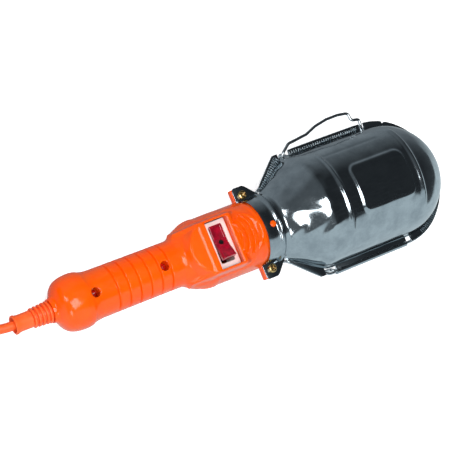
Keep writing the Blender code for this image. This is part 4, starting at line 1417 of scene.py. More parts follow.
# ---- switch
@dataclass
class Switch:
    """White housing with its bezel and the tilted crimson rocker."""

    bezel_z: float = 19.3
    hollow: tuple = (5.4, 13.3)
    rocker_half: tuple = (4.9, 12.3)
    valley: float = 5.0
    tip: float = 8.2
    tilt: float = 13.0

    def housing(self) -> Object:
        """Bezel plate with a rolled rim round the rocker, and the body under it.

        Returns:
            The housing.
        """
        x = 0.5 * sum(WINDOW_X)
        half_x = 0.5 * (WINDOW_X[1] - WINDOW_X[0]) - GAP
        half_y = WINDOW_HALF_Y - GAP
        outer, inner = (round_corners([(x - rx, -ry), (x + rx, -ry), (x + rx, ry), (x - rx, ry)],
                                      0.8, 6) for rx, ry in ((half_x, half_y), self.hollow))
        rim = [(x + (px - x) * (1.0 - 0.35 / half_x), py * (1.0 - 0.35 / half_y)) for px, py in outer]
        low = [(x + (px - x) * 6.8 / half_x, py * 15.6 / half_y) for px, py in outer]
        rings = [(outer, self.bezel_z - 2.2), (outer, self.bezel_z - 0.35),
                 (rim, self.bezel_z), (inner, self.bezel_z), (inner, 4.6), (low, 3.0),
                 (low, self.bezel_z - 2.2)]
        draft = Draft()
        draft.add_grid(np.array([[(px, py, z) for px, py in ring] for ring, z in rings]),
                       wrap_rows=True, wrap_columns=True)
        return draft.to_object("switch_bezel_housing")

    def rocker(self) -> Object:
        """The rocker: a V-topped cap with skirts, rims and a centre dimple whose floor is a black disc of
        painted shade.

        Returns:
            The rocker.
        """
        half_x, length = self.rocker_half
        outline = [(-length, self.tip), (-length - 0.5, 4.2), (-length + 1.0, 1.2), (-7.0, -1.6)]
        outline += arc((0.0, 0.0), 5.2, 216.0, 324.0, 14)
        outline += [(7.0, -1.6), (length - 1.0, 1.2), (length + 0.5, 4.2), (length, self.tip),
                    (0.35, self.valley + 0.02), (-0.35, self.valley + 0.02)]
        space, low = self.pivot_space(), self.valley
        draft = Draft()
        draft.add_plate(outline, -half_x, half_x, 0.45)
        item = draft.to_object("switch_rocker_cap", space @ Matrix((
            (0, 0, 1, 0), (1, 0, 0, 0), (0, 1, 0, 0), (0, 0, 0, 1))), 30.0)
        cutters = [turned("cutter_dimple", [(low - 0.9, 0.0), (low - 0.9, 1.75),
                                            (low + 4.0, 2.1), (low + 4.0, 0.0)], 40, "Z",
                          space=space)]
        slope = math.atan2(self.tip - low, length)
        for side in (1, -1):
            panel = Draft()
            panel.add_box((-half_x + 1.1, -4.6, -0.35), (half_x - 1.1, 4.6, 2.0), 0.25)
            place = (Matrix.Translation((0.0, side * 6.9, low + 1.8))
                     @ Matrix.Rotation(side * slope, 4, "X"))
            cutters.append(panel.to_object(f"cutter_panel_{side}", space @ place))
        cut(item, cutters)
        # The dimple's floor: a black disc of painted shade, joined in a second material.
        pit = turned("dimple_pit", [(low - 0.88, 0.0), (low - 0.88, 1.7), (low - 0.1, 1.7),
                                    (low - 0.15, 1.1), (low - 0.5, 0.9), (low - 0.5, 0.0)],
                     32, "Z", space=space)
        return join_in_two(item, pit, ROCKER_RED, DIMPLE_PAINTED_SHADE)

    def pivot_space(self) -> Matrix:
        """From the rocker's own millimetres to the frame, tilted as it rests."""
        return (LAMP_SPACE @ Matrix.Translation(ROCKER_PIVOT)
                @ Matrix.Rotation(math.radians(-self.tilt), 4, "X"))

    def build(self) -> None:
        """Housing and rocker; the contacts keep their CAD shape."""
        settle(self.housing(), BEZEL_NYLON, Body.LAMP, "white_plastic", "switch_housing")
        settle(self.rocker(), ROCKER_RED, Body.ROCKER, "red_rocker", "switch_rocker")


# ---- reflector shell
@dataclass
class Shade:
    """The pressed half-shell reflector with its beads, flanges, hem and rolled tube."""

    sheet: float = 0.8
    band_r: float = 24.0
    shell_r: float = 42.2
    cone_x: tuple = (17.5, 44.5)
    dome_x: float = 116.0
    flange_z: tuple = (0.05, 0.85)
    straight_x: tuple = (51.5, 114.6)
    flange_y: float = 46.9
    tube_r: tuple = (2.1, 1.35)
    nub_hole_r: float = 2.5
    hoop_beads: tuple = ((58.5, 1.35, 1.25), (122.0, 1.45, 1.25))
    panel_x: tuple = (70.0, 115.0)
    panel_half_y: float = 18.0
    panel_height: float = 1.1
    crimp_pitch: float = 1.9
    crease: tuple = (31.0, 0.9, 0.22)        # y, half width and depth
    flare: tuple = (2.2, 1.1)                # height over the flange, and reach
    dent_depths: tuple = (0.28, 0.05)        # over the cone, and everywhere

    def profile(self) -> np.ndarray:
        """(x, radius) stations from the neck band to the tip of the dome.

        Returns:
            (x, radius) rows.
        """
        neck = [(0.0, 24.0), (0.35, 24.15), (8.4, self.band_r), (9.1, 24.35), (9.9, 25.3),
                (11.1, 25.95), (12.3, 25.3), (13.1, 24.35), (13.7, 24.1), (15.8, 24.3),
                (16.8, 24.75), (self.cone_x[0], 25.5), (30.5, 33.6), (41.5, 40.5), (43.4, 41.5),
                (45.4, 42.05), (48.5, self.shell_r), (self.dome_x, self.shell_r)]
        stations = np.concatenate([
            np.linspace(0.0, 8.4, 7), np.linspace(8.8, 18.0, 34), np.linspace(18.6, 40.0, 30),
            np.linspace(40.6, 49.0, 20), np.linspace(49.6, self.dome_x, 108)])
        radius = smooth_line(neck, stations)
        angle = np.radians(np.linspace(90.0, 0.3, 62))[1:]
        dome = np.stack([self.dome_x + self.shell_r * np.cos(angle), self.shell_r * np.sin(angle)], 1)
        return np.concatenate([np.stack([stations, radius], 1), dome])

    def relief(self, x: np.ndarray, y: np.ndarray, z: np.ndarray) -> np.ndarray:
        """Pressed beads, the raised panel, the crease and the flare into the flange.

        Args:
            x: Places along the lamp.
            y: Places across it.
            z: Heights.

        Returns:
            How far to push the sheet out, mm.
        """
        total = np.zeros_like(x)
        ends = (1.0 - smooth_step(31.0, 36.0, y)) * (1.0 - smooth_step(17.0, 30.0, -y))
        for centre, half, height in self.hoop_beads:
            total += height * np.exp(-((x - centre) / half) ** 2) * ends
        inside = np.minimum(np.minimum(x - self.panel_x[0], self.panel_x[1] - x),
                            self.panel_half_y - np.abs(y))
        corner = np.hypot(np.maximum(6.0 - (self.panel_half_y - np.abs(y)), 0.0),
                          np.maximum(6.0 - np.minimum(x - self.panel_x[0],
                                                      self.panel_x[1] - x), 0.0))
        inside = np.minimum(inside, 6.0 - corner)
        total += self.panel_height * smooth_step(-0.9, 0.9, inside)
        crease_x = smooth_step(58.0, 64.0, x) * (1.0 - smooth_step(104.0, 112.0, x))
        crease_y, half, depth = self.crease
        total -= depth * np.exp(-((y - crease_y) / half) ** 2) * crease_x
        rise, reach = self.flare
        flare = np.clip(1.0 - (z - self.flange_z[1]) / rise, 0.0, 1.0) ** 2
        total += reach * flare * smooth_step(self.cone_x[0], 24.0, x)
        # Hand-pressed sheet: slow dents over the cone, a few centimetres across.
        dents = np.sin(0.31 * x + 1.7 * np.sin(0.19 * y)) * np.sin(0.27 * y + 0.6)
        cone = smooth_step(18.0, 26.0, x) * (1.0 - smooth_step(42.0, 58.0, x))
        on_cone, all_over = self.dent_depths
        return total + on_cone * dents * cone + all_over * dents

    def bowl(self) -> Object:
        """The turned half, pressed and given its sheet thickness.

        Returns:
            The bowl.
        """
        profile = self.profile()
        angle = np.radians(np.linspace(-90.0, 90.0, 133))[None, :]
        x, radius = profile[:, :1], profile[:, 1:]
        x, radius, angle = np.broadcast_arrays(x, radius, angle)
        y, z = radius * np.sin(angle), radius * np.cos(angle)
        relief = self.relief(x, y, z)
        out = (x - self.dome_x) / self.shell_r
        in_dome = x > self.dome_x
        push = np.where(in_dome, relief * np.clip(out, 0.0, 1.0), 0.0)
        lift = np.where(in_dome, relief * np.sqrt(np.clip(1 - out ** 2, 0.0, 1.0)), relief)
        grown = radius + lift
        grid = np.stack([x + push, grown * np.sin(angle), grown * np.cos(angle)], -1)
        draft = Draft()
        draft.add_grid(grid)
        item = draft.to_object("shade", LAMP_SPACE, 60.0)
        middle = sum((Vector(p.normal) for p in item.data.polygons), Vector())
        if middle.dot(LAMP.z_axis) < 0:
            item.data.flip_normals()
        thickness = item.modifiers.new("sheet", "SOLIDIFY")
        thickness.thickness = self.sheet * MM
        thickness.offset = -1.0
        settle_modifiers(item)
        cut(item, [peg("nub", (NUB_X, 0.0), self.nub_hole_r, (18.0, 30.0), 40)])
        return item

    def ear_outline(self, side: int) -> list:
        """The sheet ear beside the neck band.

        Args:
            side: 1 for the latch side, -1 for the hinge side.

        Returns:
            Pairs round it.
        """
        points = [(-2.3, 23.4), (-2.3, 33.0), (-0.9, 34.6), (6.4, 34.6), (8.6, 33.2),
                  (13.6, 27.8), (16.4, 25.2), (16.4, 23.4)]
        return [(x, y * side) for x, y in points]

    def flange_outlines(self, side: int) -> list:
        """Outlines of the cone flange and of the straight flange on one side.

        Args:
            side: 1 for the latch side, -1 for the hinge side.

        Returns:
            Two outlines of pairs.
        """
        cone = [(17.2, 24.9), (17.8, 28.0), (37.8, 46.4), (39.2, 47.0), (42.4, 47.0),
                (42.4, 40.2), (30.0, 32.4)]
        outer = self.flange_y if side > 0 else 46.2
        straight = [(self.straight_x[0], 41.6), (self.straight_x[0], outer),
                    (self.straight_x[1], outer), (self.straight_x[1], 41.6)]
        return [[(x, y * side) for x, y in outline] for outline in (cone, straight)]

    def dome_outline(self) -> list:
        """The flange round the dome, with its small notch on the latch side.

        Returns:
            Pairs round it.
        """
        outer = []
        for angle in np.linspace(86.8, -86.8, 120):
            notch = 1.9 * math.exp(-((angle - 66.0) / 0.9) ** 2)
            reach = self.shell_r + 5.1 - notch
            outer.append((self.dome_x + reach * math.cos(math.radians(angle)),
                          reach * math.sin(math.radians(angle))))
        return outer + arc((self.dome_x, 0.0), self.shell_r - 0.6, -86.8, 86.8, 60)

    def hem(self, draft: Draft, start: tuple, end: tuple, radius: float) -> None:
        """A folded edge: a flattened bead along the flange.

        Args:
            draft: The draft that it is added to.
            start: One end.
            end: The other end.
            radius: Half its thickness.
        """
        first, last = np.array(start, float), np.array(end, float)
        along = (last - first) / np.linalg.norm(last - first)
        across = np.array([-along[1], along[0], 0.0])
        up = np.array([0.0, 0.0, 1.0])
        rows = []
        steps = max(2, int(np.linalg.norm(last - first) / 4.0))
        for i, t in enumerate(np.linspace(0.0, 1.0, steps)):
            size = radius * (0.75 if i in (0, steps - 1) else 1.0)
            centre = first + (last - first) * t
            rows.append([centre + across * size * 1.15 * math.cos(a) + up * size * math.sin(a)
                         for a in full_turn(14)])
        draft.add_grid(np.array(rows), wrap_columns=True, cap_rows=True)

    def rolled_tube(self, draft: Draft) -> None:
        """The hinge side's edge rolled round the guard's wire, open along a slot.

        Args:
            draft: The draft that it is added to.
        """
        outside = arc((0.0, 0.0), self.tube_r[0], 90.0, 398.0, 34)
        inside = arc((0.0, 0.0), self.tube_r[1], 398.0, 90.0, 34)
        y, z = GUARD_HINGE
        stations = [self.straight_x[0], self.straight_x[0] + 0.3, self.straight_x[1] - 0.3,
                    self.straight_x[1]]
        grid = np.array([[(x, y + py, z + pz) for py, pz in outside + inside] for x in stations])
        draft.add_grid(grid, wrap_columns=True, cap_rows=True)

    def crimps(self) -> Object:
        """The dark crimp marks across the latch side's hem and its dome end.

        Returns:
            The marks as one object.
        """
        tick = Draft()
        tick.add_box((-0.45, -1.3, 0.0), (0.45, 1.3, 0.6), 0.2)
        count = int((self.straight_x[1] - self.straight_x[0] - 2.0) / self.crimp_pitch)
        points = [(self.straight_x[0] + 1.2 + self.crimp_pitch * i, 44.9, self.flange_z[1])
                  for i in range(count)]
        turns = [0.0] * count
        for angle in np.linspace(-40.0, -72.0, 16):
            reach = self.shell_r + 3.4
            points.append((self.dome_x + reach * math.cos(math.radians(angle)),
                           reach * math.sin(math.radians(angle)), self.flange_z[1]))
            turns.append(math.radians(angle - 90.0))
        # Pleats of the folded sheet down the flange beside the cone.
        edge = Vector((20.6, 18.5, 0.0))
        across = Vector((edge.y, -edge.x, 0.0)).normalized()
        for i in range(15):
            foot = Vector((18.4, 28.2, self.flange_z[1])) + edge * ((i + 0.6) / 15.0)
            for inset in (2.0, 4.2):
                points.append(tuple(foot + across * inset))
                turns.append(math.atan2(edge.y, edge.x))
        return copies_on_points("shade_crimps", tick.to_object("tick", FRAME_SPACE), points,
                                turns, BRIGHT_ZINC_SHEET)

    def edges(self) -> Object:
        """Ears, flanges, hems and the rolled tube.

        Returns:
            All of them as one object.
        """
        low, high = self.flange_z
        draft = Draft()
        for side in (1, -1):
            for outline in self.flange_outlines(side):
                draft.add_plate(outline, low, high, 0.15)
            self.hem(draft, (18.6, 28.4 * side, 0.55), (38.4, 46.5 * side, 0.55), 0.75)
        self.hem(draft, (self.straight_x[0], self.flange_y - 0.5, 0.7),
                 (self.straight_x[1], self.flange_y - 0.5, 0.7), 0.95)
        draft.add_plate(self.dome_outline(), low, high, 0.15)
        self.rolled_tube(draft)
        item = draft.to_object("shade_edges")
        ears = Draft()
        for side in (1, -1):
            ears.add_plate(round_corners(self.ear_outline(side), 1.4), low, high, 0.15)
        plate = ears.to_object("shade_ears")
        x, y = EAR_SCREW
        cut(plate, [peg(f"ear_{s}", (x, y * s), 2.0, (-3.0, 3.0), 32) for s in (1, -1)])
        return join(item, [plate])

    def build(self) -> None:
        """The whole shade as one piece."""
        item = join(self.bowl(), [self.edges(), self.crimps()])
        item.data.materials.clear()
        settle(item, BRIGHT_ZINC_SHEET, Body.LAMP, "zinc_sheet", "reflector_shell")


# ---- guard
@dataclass
class Guard:
    """The hinged wire cage with its welds and the spring latch."""

    wire_r: float = 1.05
    hoop_r: float = 1.2
    hoop_x: tuple = (50.5, 82.0, 112.6)
    hoop_flat_y: float = 22.0
    hoop_depth: float = 43.0
    side_bar: tuple = (40.3, -18.0)
    front_bar_y: float = 19.0
    latch: tuple = (43.2, -2.4)
    latch_wire_r: float = 1.1
    dome_x: float = 116.8
    neck: tuple = (19.0, 27.5)
    seam_step: int = 20
    bow_z: float = 1.4

    def frame_path(self) -> list:
        """The frame wire: hinge run, cone side, round the neck, latch rail, dome.

        Returns:
            The points.
        """
        neck = [(self.neck[0], y, z) for y, z in arc((0, 0), self.neck[1], -8.0, -172.0, 26)]
        latch_y, latch_z = self.latch
        hinge_y, hinge_z = GUARD_HINGE
        middle, radius = 0.5 * (latch_y + hinge_y), 0.5 * (latch_y - hinge_y)
        dome = [(x, y, latch_z + (hinge_z - latch_z) * i / 48.0) for i, (x, y) in
                enumerate(arc((self.dome_x, middle), radius, 90.0, -90.0, 48))]
        rail = bent_path([neck[0], (44.0, latch_y, latch_z), dome[0]], 6.0)
        hinge = bent_path([dome[-1], (46.0, hinge_y, hinge_z), neck[-1]], 6.0)
        loop = [Vector(p) for p in rail[:-1] + dome + hinge[1:-1] + neck[::-1]]
        loop = loop[self.seam_step:] + loop[1:self.seam_step]
        last, first = loop[-1], loop[0]
        loop.append(last + (first - last) * (1.0 - 0.5 / (first - last).length))
        return loop

    def hoop_path(self, x: float, ends_at_bars: bool) -> list:
        """A D-shaped hoop across the front, flat where it lies on the floor.

        Args:
            x: Its station.
            ends_at_bars: It stops at the side bars.

        Returns:
            The points.
        """
        if ends_at_bars:
            top = [(self.side_bar[0] + self.hoop_r * 2 + GAP, self.side_bar[1] + 5.0)]
        else:
            top = [(self.latch[0] + 1.6, self.latch[1] - 2.0 * self.hoop_r - GAP)]
        half = top + [(44.0, -17.0), (self.hoop_flat_y + 9.0, -self.hoop_depth + 3.0),
                      (self.hoop_flat_y, -self.hoop_depth)]
        points = [(x, y, z) for y, z in half] + [(x, -y, z) for y, z in reversed(half)]
        return bent_path(points, 12.0)

    def front_bar_path(self, y: float) -> list:
        """A bar along the front, turned up to the frame at both ends.

        Args:
            y: Its place across.

        Returns:
            The points.
        """
        inner = -self.hoop_depth + 2.0 * self.hoop_r + GAP
        bottom = self.latch[1] - 2.0 * self.hoop_r - GAP
        return bent_path([(20.5, y, -23.5), (43.0, y, inner), (128.0, y, inner),
                          (150.0, y, -22.0), (156.0, y, bottom)], 16.0)

    def latch_path(self) -> list:
        """The latch: an eye on the rail, the finger bow and a stepped end with an eye.

        Returns:
            The points.
        """
        eye_r = self.wire_r + GAP + self.latch_wire_r
        start_x, end_x = 46.4, 116.6
        y0, z0 = self.latch
        turn = [(y0 + y, z0 + z) for z, y in arc((0, 0), eye_r, 250.0, 20.0, 22)]
        top = z0 + eye_r + 0.6
        flat = [(54.0, 51.2), (70.8, 53.2), (80.0, 56.6), (91.0, 58.6), (101.0, 58.8),
                (109.8, 57.6), (110.2, 51.6), (116.6, 50.6)]
        bow = [(start_x + 1.6, 46.6, top), *((x, y, self.bow_z) for x, y in flat), (end_x, 46.8, top)]
        eye_in = [(start_x, y, z) for y, z in turn]
        eye_out = [(end_x, y, z) for y, z in reversed(turn)]
        return eye_in[:-1] + bent_path([eye_in[-1]] + bow + [eye_out[0]], 3.0) + eye_out[1:]

    def weld_points(self) -> list:
        """Where crossing wires are spot-welded.

        Returns:
            The points.
        """
        hoop_z = -self.hoop_depth + self.hoop_r + 0.5 * GAP
        points = [(x, side * self.front_bar_y, hoop_z) for x in self.hoop_x for side in (1, -1)]
        outer_y = self.side_bar[0] + self.hoop_r + 0.5 * GAP
        points += [(x, side * (outer_y + 0.4), self.side_bar[1]) for x in self.hoop_x for side in (1, -1)]
        frame_z = self.latch[1] - self.hoop_r - 0.5 * GAP + 0.2
        for x in (self.hoop_x[0], self.hoop_x[2]):
            points.append((x, self.latch[0] + 0.8, frame_z))
            points.append((x, -self.latch[0] - 2.4, frame_z + 0.6))
        points += [(20.0, side * self.front_bar_y, -21.6) for side in (1, -1)]
        points += [(156.0, side * self.front_bar_y, frame_z + 0.2) for side in (1, -1)]
        return points

    def welds(self) -> Object:
        """Flattened weld nuggets by Geometry Nodes.

        Returns:
            The nuggets as one object.
        """
        nugget = turned("nugget", [(1.35 * math.cos(t), 1.35 * math.sin(t))
                                   for t in np.linspace(math.pi, 0.0, 9)], 14, "Z",
                        space=FRAME_SPACE)
        points = self.weld_points()
        return copies_on_points("guard_welds", nugget, points,
                                [0.7 * i for i in range(len(points))], BRIGHT_ZINC_WIRE)

    def build(self) -> None:
        """Every wire, the welds and the latch."""
        steel = BRIGHT_ZINC_WIRE
        runs = {"guard_frame_wire": (self.frame_path(), self.wire_r)}
        for label, x in zip(("neck", "middle", "dome"), self.hoop_x):
            runs["guard_hoop_" + label] = (self.hoop_path(x, label == "middle"), self.hoop_r)
        for label, side in (("latch_side", 1), ("hinge_side", -1)):
            y, z = side * self.side_bar[0], self.side_bar[1]
            runs["guard_side_bar_" + label] = (
                [(self.hoop_x[0] - 1.0, y, z), (self.hoop_x[2] + 1.0, y, z)], self.hoop_r)
            runs["guard_front_bar_" + label] = (self.front_bar_path(side * self.front_bar_y), self.hoop_r)
        for node, (path, radius) in runs.items():
            item = WIRES.sweep(node + "_drawn", path, radius, steel)
            settle(item, steel, Body.GUARD, "zinc_wire", node)
        settle(self.welds(), steel, Body.GUARD, "zinc_wire")
        item = WIRES.sweep("guard_latch_drawn", self.latch_path(), self.latch_wire_r, steel)
        settle(item, steel, Body.LATCH, "zinc_wire", "guard_latch_bow")


# ---- lampholder and bulb
@dataclass
class Lamp:
    """Porcelain holder and the clear bulb with its threaded cap and filament."""

    bulb_x: float = 57.0
    bulb_r: float = 30.0
    glass_wall: float = 0.8
    thread_pitch: float = 3.6

    def holder(self) -> Object:
        """The insulating cup with two rounded steps.

        Returns:
            The cup.
        """
        return turned("holder_cup", [
            (-20.0, 3.0), (-20.0, 16.4), (-19.6, 17.2), (-18.5, 18.4), (-17.6, 18.9),
            (-2.0, 18.9), (-1.6, 18.5), (-0.6, 18.5), (-0.2, 18.9), (11.0, 18.9), (12.0, 18.6),
            (12.4, 18.0), (12.4, 15.4), (12.0, 14.9), (-15.6, 14.9), (-15.6, 3.0)], 72,
                      closed=True)

    def cap(self) -> Object:
        """The bulb's E27 cap: a helical rolled thread and a skirt.

        Returns:
            The cap.
        """
        angle = full_turn(72)
        xs, turn = np.meshgrid(np.linspace(-7.2, 9.8, 76), angle, indexing="ij")
        fade = smooth_step(-7.2, -5.0, xs) * (1.0 - smooth_step(7.8, 9.6, xs))
        wave = 0.5 + 0.5 * np.sin(2.0 * math.pi * xs / self.thread_pitch - turn)
        radius = 12.25 + 0.65 * wave * fade
        outside = np.stack([xs, radius * np.cos(turn), radius * np.sin(turn)], -1)
        before = [(-12.0, 0.0), (-12.0, 4.2), (-11.6, 4.7), (-10.6, 5.3), (-8.8, 11.4), (-7.8, 12.1)]
        after = [(10.6, 12.9), (12.8, 14.0), (12.8, 13.1), (10.4, 11.9), (-6.8, 11.6),
                 (-9.0, 4.0), (-9.0, 0.0)]
        rings = [[[(px, r * math.cos(a), r * math.sin(a)) for a in angle] for px, r in part]
                 for part in (before, after)]
        draft = Draft()
        draft.add_grid(np.concatenate([rings[0], outside, rings[1]]), wrap_columns=True)
        return draft.to_object("bulb_threaded_cap")

    def glass(self) -> Object:
        """The blown envelope, open at its neck.

        Returns:
            The envelope.
        """
        wall = self.glass_wall
        neck = [(13.1, 13.6), (15.0, 13.9), (18.0, 14.6), (22.0, 16.1), (27.0, 18.4),
                (32.0, 21.4), (37.0, 24.4), (41.5, 26.9), (46.0, 28.5)]
        crown = arc((self.bulb_x, 0.0), self.bulb_r, 104.0, 0.0, 26)
        inner = arc((self.bulb_x, 0.0), self.bulb_r - wall, 0.0, 104.0, 26)
        profile = neck + crown + inner + [(x, r - wall) for x, r in reversed(neck)]
        return turned("bulb_envelope", profile, 96, closed=True)

    def stem(self) -> Object:
        """The flared glass stem and its button.

        Returns:
            The stem.
        """
        return turned("bulb_glass_stem", [
            (13.4, 0.0), (13.4, 11.4), (14.2, 11.3), (16.0, 9.0), (18.4, 5.2), (21.0, 3.7),
            (25.0, 3.1), (44.0, 2.3), (45.4, 2.9), (47.0, 2.9), (48.0, 1.6), (48.2, 0.0)], 40)

    def filament_path(self) -> list:
        """Support wire, the coiled filament in a wide arc, and the other support.

        Returns:
            The points.
        """
        half = [(48.0, 3.4), (54.0, 9.0), (58.0, 13.0), (61.0, 6.0)]
        loop = ([(x, -y, 0.0) for x, y in half] + [(62.0, 0.0, 0.0)]
                + [(x, y, 0.0) for x, y in half[::-1]])
        guide = even_path(loop, 0.25)
        path = []
        for i, point in enumerate(guide):
            share, turn = i / len(guide), i * 0.9
            coiled = smooth_step(0.24, 0.3, share) * (1.0 - smooth_step(0.7, 0.76, share))
            path.append(point + Vector((0.28 * math.cos(turn), 0.0, 0.28 * math.sin(turn)))
                        * float(coiled))
        return path

    def build(self) -> None:
        """Holder and bulb."""
        for item, finish, slot, node in (
                (self.holder(), PORCELAIN, "white_ceramic", "lampholder_cup"),
                (self.cap(), LAMP_CAP, "aluminium", "bulb_cap"),
                (self.glass(), GLASS, "clear_glass", "bulb_glass"),
                (self.stem(), GLASS, "clear_glass", "bulb_stem"),
                (WIRES.sweep("bulb_coiled_filament", self.filament_path(), 0.13, TUNGSTEN,
                             sides=6), TUNGSTEN, "tungsten", "bulb_filament")):
            settle(item, finish, Body.LAMP, slot, node)


# ---- cord
@dataclass
class Cord:
    """The mains cord: out of the sleeve, along the floor, coiled, tied and plugged."""

    radius: float = 3.25
    sleeve_mouth_x: float = -187.6
    total_length: float = 5.0
    centre: tuple = (-234.0, 57.0)
    columns: int = 5
    layers: int = 4
    steps: int = 40
    first_layer_z: float = 4.6
    layer_rise: float = 6.5
    outer_r: float = 51.0
    tail_angles: tuple = (-38.0, -84.0)
    # The same free route as the CAD tube, in metres.
    route: tuple = (
        (-0.1706, -0.0052, 0.01435), (-0.174, -0.0052, 0.0139), (-0.178, -0.005, 0.0133),
        (-0.183, -0.0044, 0.0123), (-0.188, -0.0035, 0.0111), (-0.193, -0.0024, 0.0097),
        (-0.198, -0.0012, 0.0083), (-0.203, 0.0, 0.0069), (-0.208, 0.001, 0.0058),
        (-0.2124, 0.0017, 0.0051))

    def coil_path(self) -> list:
        """The wound turns: round and round, stepping in, up, out, up and so on.

        Returns:
            The points.
        """
        radii = [self.outer_r - 2.0 * self.radius * i for i in range(self.columns)]
        turns = [(radius, layer) for layer in range(self.layers)
                 for radius in (radii[::-1] if layer % 2 else radii)]
        path = []
        last_share = (360.0 - (self.tail_angles[0] + 90.0)) / 360.0
        for i, (radius, layer) in enumerate(turns):
            final = i == len(turns) - 1
            next_radius, next_layer = (radius, layer) if final else turns[i + 1]
            count = round(self.steps * (last_share if final else 1.0))
            for j in range(count):
                share = j / self.steps
                cross = float(smooth_step(0.8, 1.0, share))
                climb = cross
                if final:
                    climb = float(smooth_step(last_share - 0.15, last_share, share))
                    next_layer = layer + 6.9 / self.layer_rise
                r = radius + (next_radius - radius) * (0.0 if final else cross)
                z = self.first_layer_z + self.layer_rise * (layer + (next_layer - layer) * climb)
                angle = math.radians(-90.0 - 360.0 * share)
                path.append((self.centre[0] + r * math.cos(angle),
                             self.centre[1] + r * math.sin(angle), z))
        return path

    def tail_path(self) -> list:
        """From the top of the coil round its edge and into the plug's boot.

        Returns:
            The points.
        """
        offset_x, start_y = -22.0, -20.0
        turn_r = offset_x + 49.0
        start_r, end_r = 51.0, turn_r - start_y
        path = []
        for i in range(10):
            t = i / 10.0
            angle = math.radians(self.tail_angles[0] + (self.tail_angles[1] - self.tail_angles[0]) * t)
            radius = start_r + (end_r - start_r) * t
            path.append((radius * math.cos(angle), radius * math.sin(angle)))
        path += arc((offset_x + turn_r, start_y), turn_r, 270.0, 180.0, 12)
        low, high = 30.95, 34.6
        route = []
        for i, (x, y) in enumerate(path):
            t = i / (len(path) - 1)
            lift = t * t * (3.0 - 2.0 * t)
            route.append((self.centre[0] + x, self.centre[1] + y, low + (high - low) * lift))
        return route

    def path(self) -> list:
        """The whole cord's centreline in metres, points about 7 mm apart.

        Returns:
            The points, in metres.
        """
        free = [tuple(c * METRE for c in point) for point in self.route]
        link = [(-222.0, 4.0, 4.75)]
        head = even_path(free + link + self.coil_path()[:1], 4.0)[:-1]
        whole = [tuple(p) for p in head] + self.coil_path() + self.tail_path()
        return [Vector(p) * MM for p in whole]

    def sleeve(self) -> Object:
        """The strain relief: flared mouth, plain tube and five rings.

        Returns:
            The sleeve.
        """
        mouth = self.sleeve_mouth_x
        outer = [(mouth, 5.5), (mouth, 6.2), (mouth + 0.4, 6.7), (mouth + 1.5, 6.7),
                 (mouth + 2.4, 6.2), (mouth + 4.5, 5.85), (-176.0, 5.9), (-174.8, 5.9)]
        for x, radius in ((-173.2, 7.0), (-170.3, 7.15), (-167.4, 7.35), (-164.5, 7.55), (-161.9, 7.75)):
            outer += [(x - 0.9, radius - 2.2), (x - 0.75, radius - 0.4), (x - 0.4, radius),
                      (x + 0.4, radius), (x + 0.75, radius - 0.4), (x + 0.9, radius - 2.2)]
        outer += [(-160.6, 6.2), (-157.1, 6.2), (-157.1, 8.2), (-154.6, 8.2), (-153.6, 6.0),
                  (-153.6, 3.65), (-182.4, 3.65), (mouth + 1.4, 4.9)]
        return turned("sleeve_ringed", outer, 56, closed=True, sharp=50.0)

    def strap(self) -> Object:
        """The tie round the coil's section, its end lapped over its top.

        Returns:
            The strap.
        """
        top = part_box("cord_coil")[1].z * METRE
        inner, outer, width = 21.2, 54.65, 9.0
        ring = round_corners([(inner, 0.5), (outer + 0.35, 0.5), (outer + 0.35, top + 0.65),
                              (inner, top + 0.65)], 3.0, 8)
        thick = 0.42
        rows = []
        centre_r, centre_z = 0.5 * (inner + outer), 0.5 * top
        for x, z in ring:
            away = Vector((x - centre_r, z - centre_z)).normalized() * thick
            rows.append([(x + away.x * s, t * 0.5 * width, max(z + away.y * s, 0.06))
                         for s, t in ((-1, -1), (1, -1), (1, 1), (-1, 1))])
        draft = Draft()
        draft.add_grid(np.array(rows), wrap_rows=True, wrap_columns=True)
        draft.add_box((inner + 8.0, -0.5 * width + 0.3, top + 1.1),
                      (inner + 24.0, 0.5 * width - 0.3, top + 1.75), 0.2)
        place = (FRAME_SPACE @ Matrix.Translation((*self.centre, 0.0))
                 @ Matrix.Rotation(math.radians(24.0), 4, "Z"))
        return draft.to_object("coil_strap", place)

    def plug(self) -> Object:
        """The flat moulded plug, lofted from its round boot to its wide face.

        Returns:
            The plug.
        """
        low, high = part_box("plug_body")
        low, high = low * METRE, high * METRE
        centre_x, centre_z = 0.5 * (low.x + high.x), 0.5 * (low.z + high.z)
        length = high.y - low.y
        half_x, half_z = 0.5 * (high.x - low.x), 0.5 * (high.z - low.z)
        along = np.concatenate([np.linspace(0.0, 0.985, 84), [0.995, 1.0]]) * length
        width = smooth_line([(0, 4.3), (21, 5.3), (24, 6.2), (29, 9.6), (36, 11.8),
                             (45, 14.6), (52, half_x), (length - 1.2, half_x - 0.6),
                             (length, half_x - 1.8)], along)
        height = smooth_line([(0, 4.3), (21, 5.3), (25, 5.6), (31, 6.2), (40, half_z),
                              (length - 1.2, half_z - 0.1), (length, half_z - 1.2)], along)
        square = smooth_line([(0, 2.0), (22, 2.0), (30, 3.4), (length, 4.2)], along)
        rings = (along > 3.0) & (along < 20.0)
        squeeze = np.where(rings, 0.35 * (0.5 + 0.5 * np.sin(along * 2.0 * math.pi / 3.4)), 0.0)
        grip = smooth_step(32.0, 33.0, along) * (1.0 - smooth_step(44.0, 45.0, along))
        dents = 0.45 * grip * (0.5 + 0.5 * np.sin(along * 2.0 * math.pi / 2.4))
        c, s = np.cos(full_turn(64)), np.sin(full_turn(64))
        rows = []
        for i, y in enumerate(along):
            power = 2.0 / square[i]
            x = (width[i] - squeeze[i] - dents[i]) * np.sign(c) * np.abs(c) ** power
            z = (height[i] - squeeze[i]) * np.sign(s) * np.abs(s) ** power
            rows.append(np.stack([centre_x + x, np.full_like(x, low.y + y), centre_z + z], 1))
        draft = Draft()
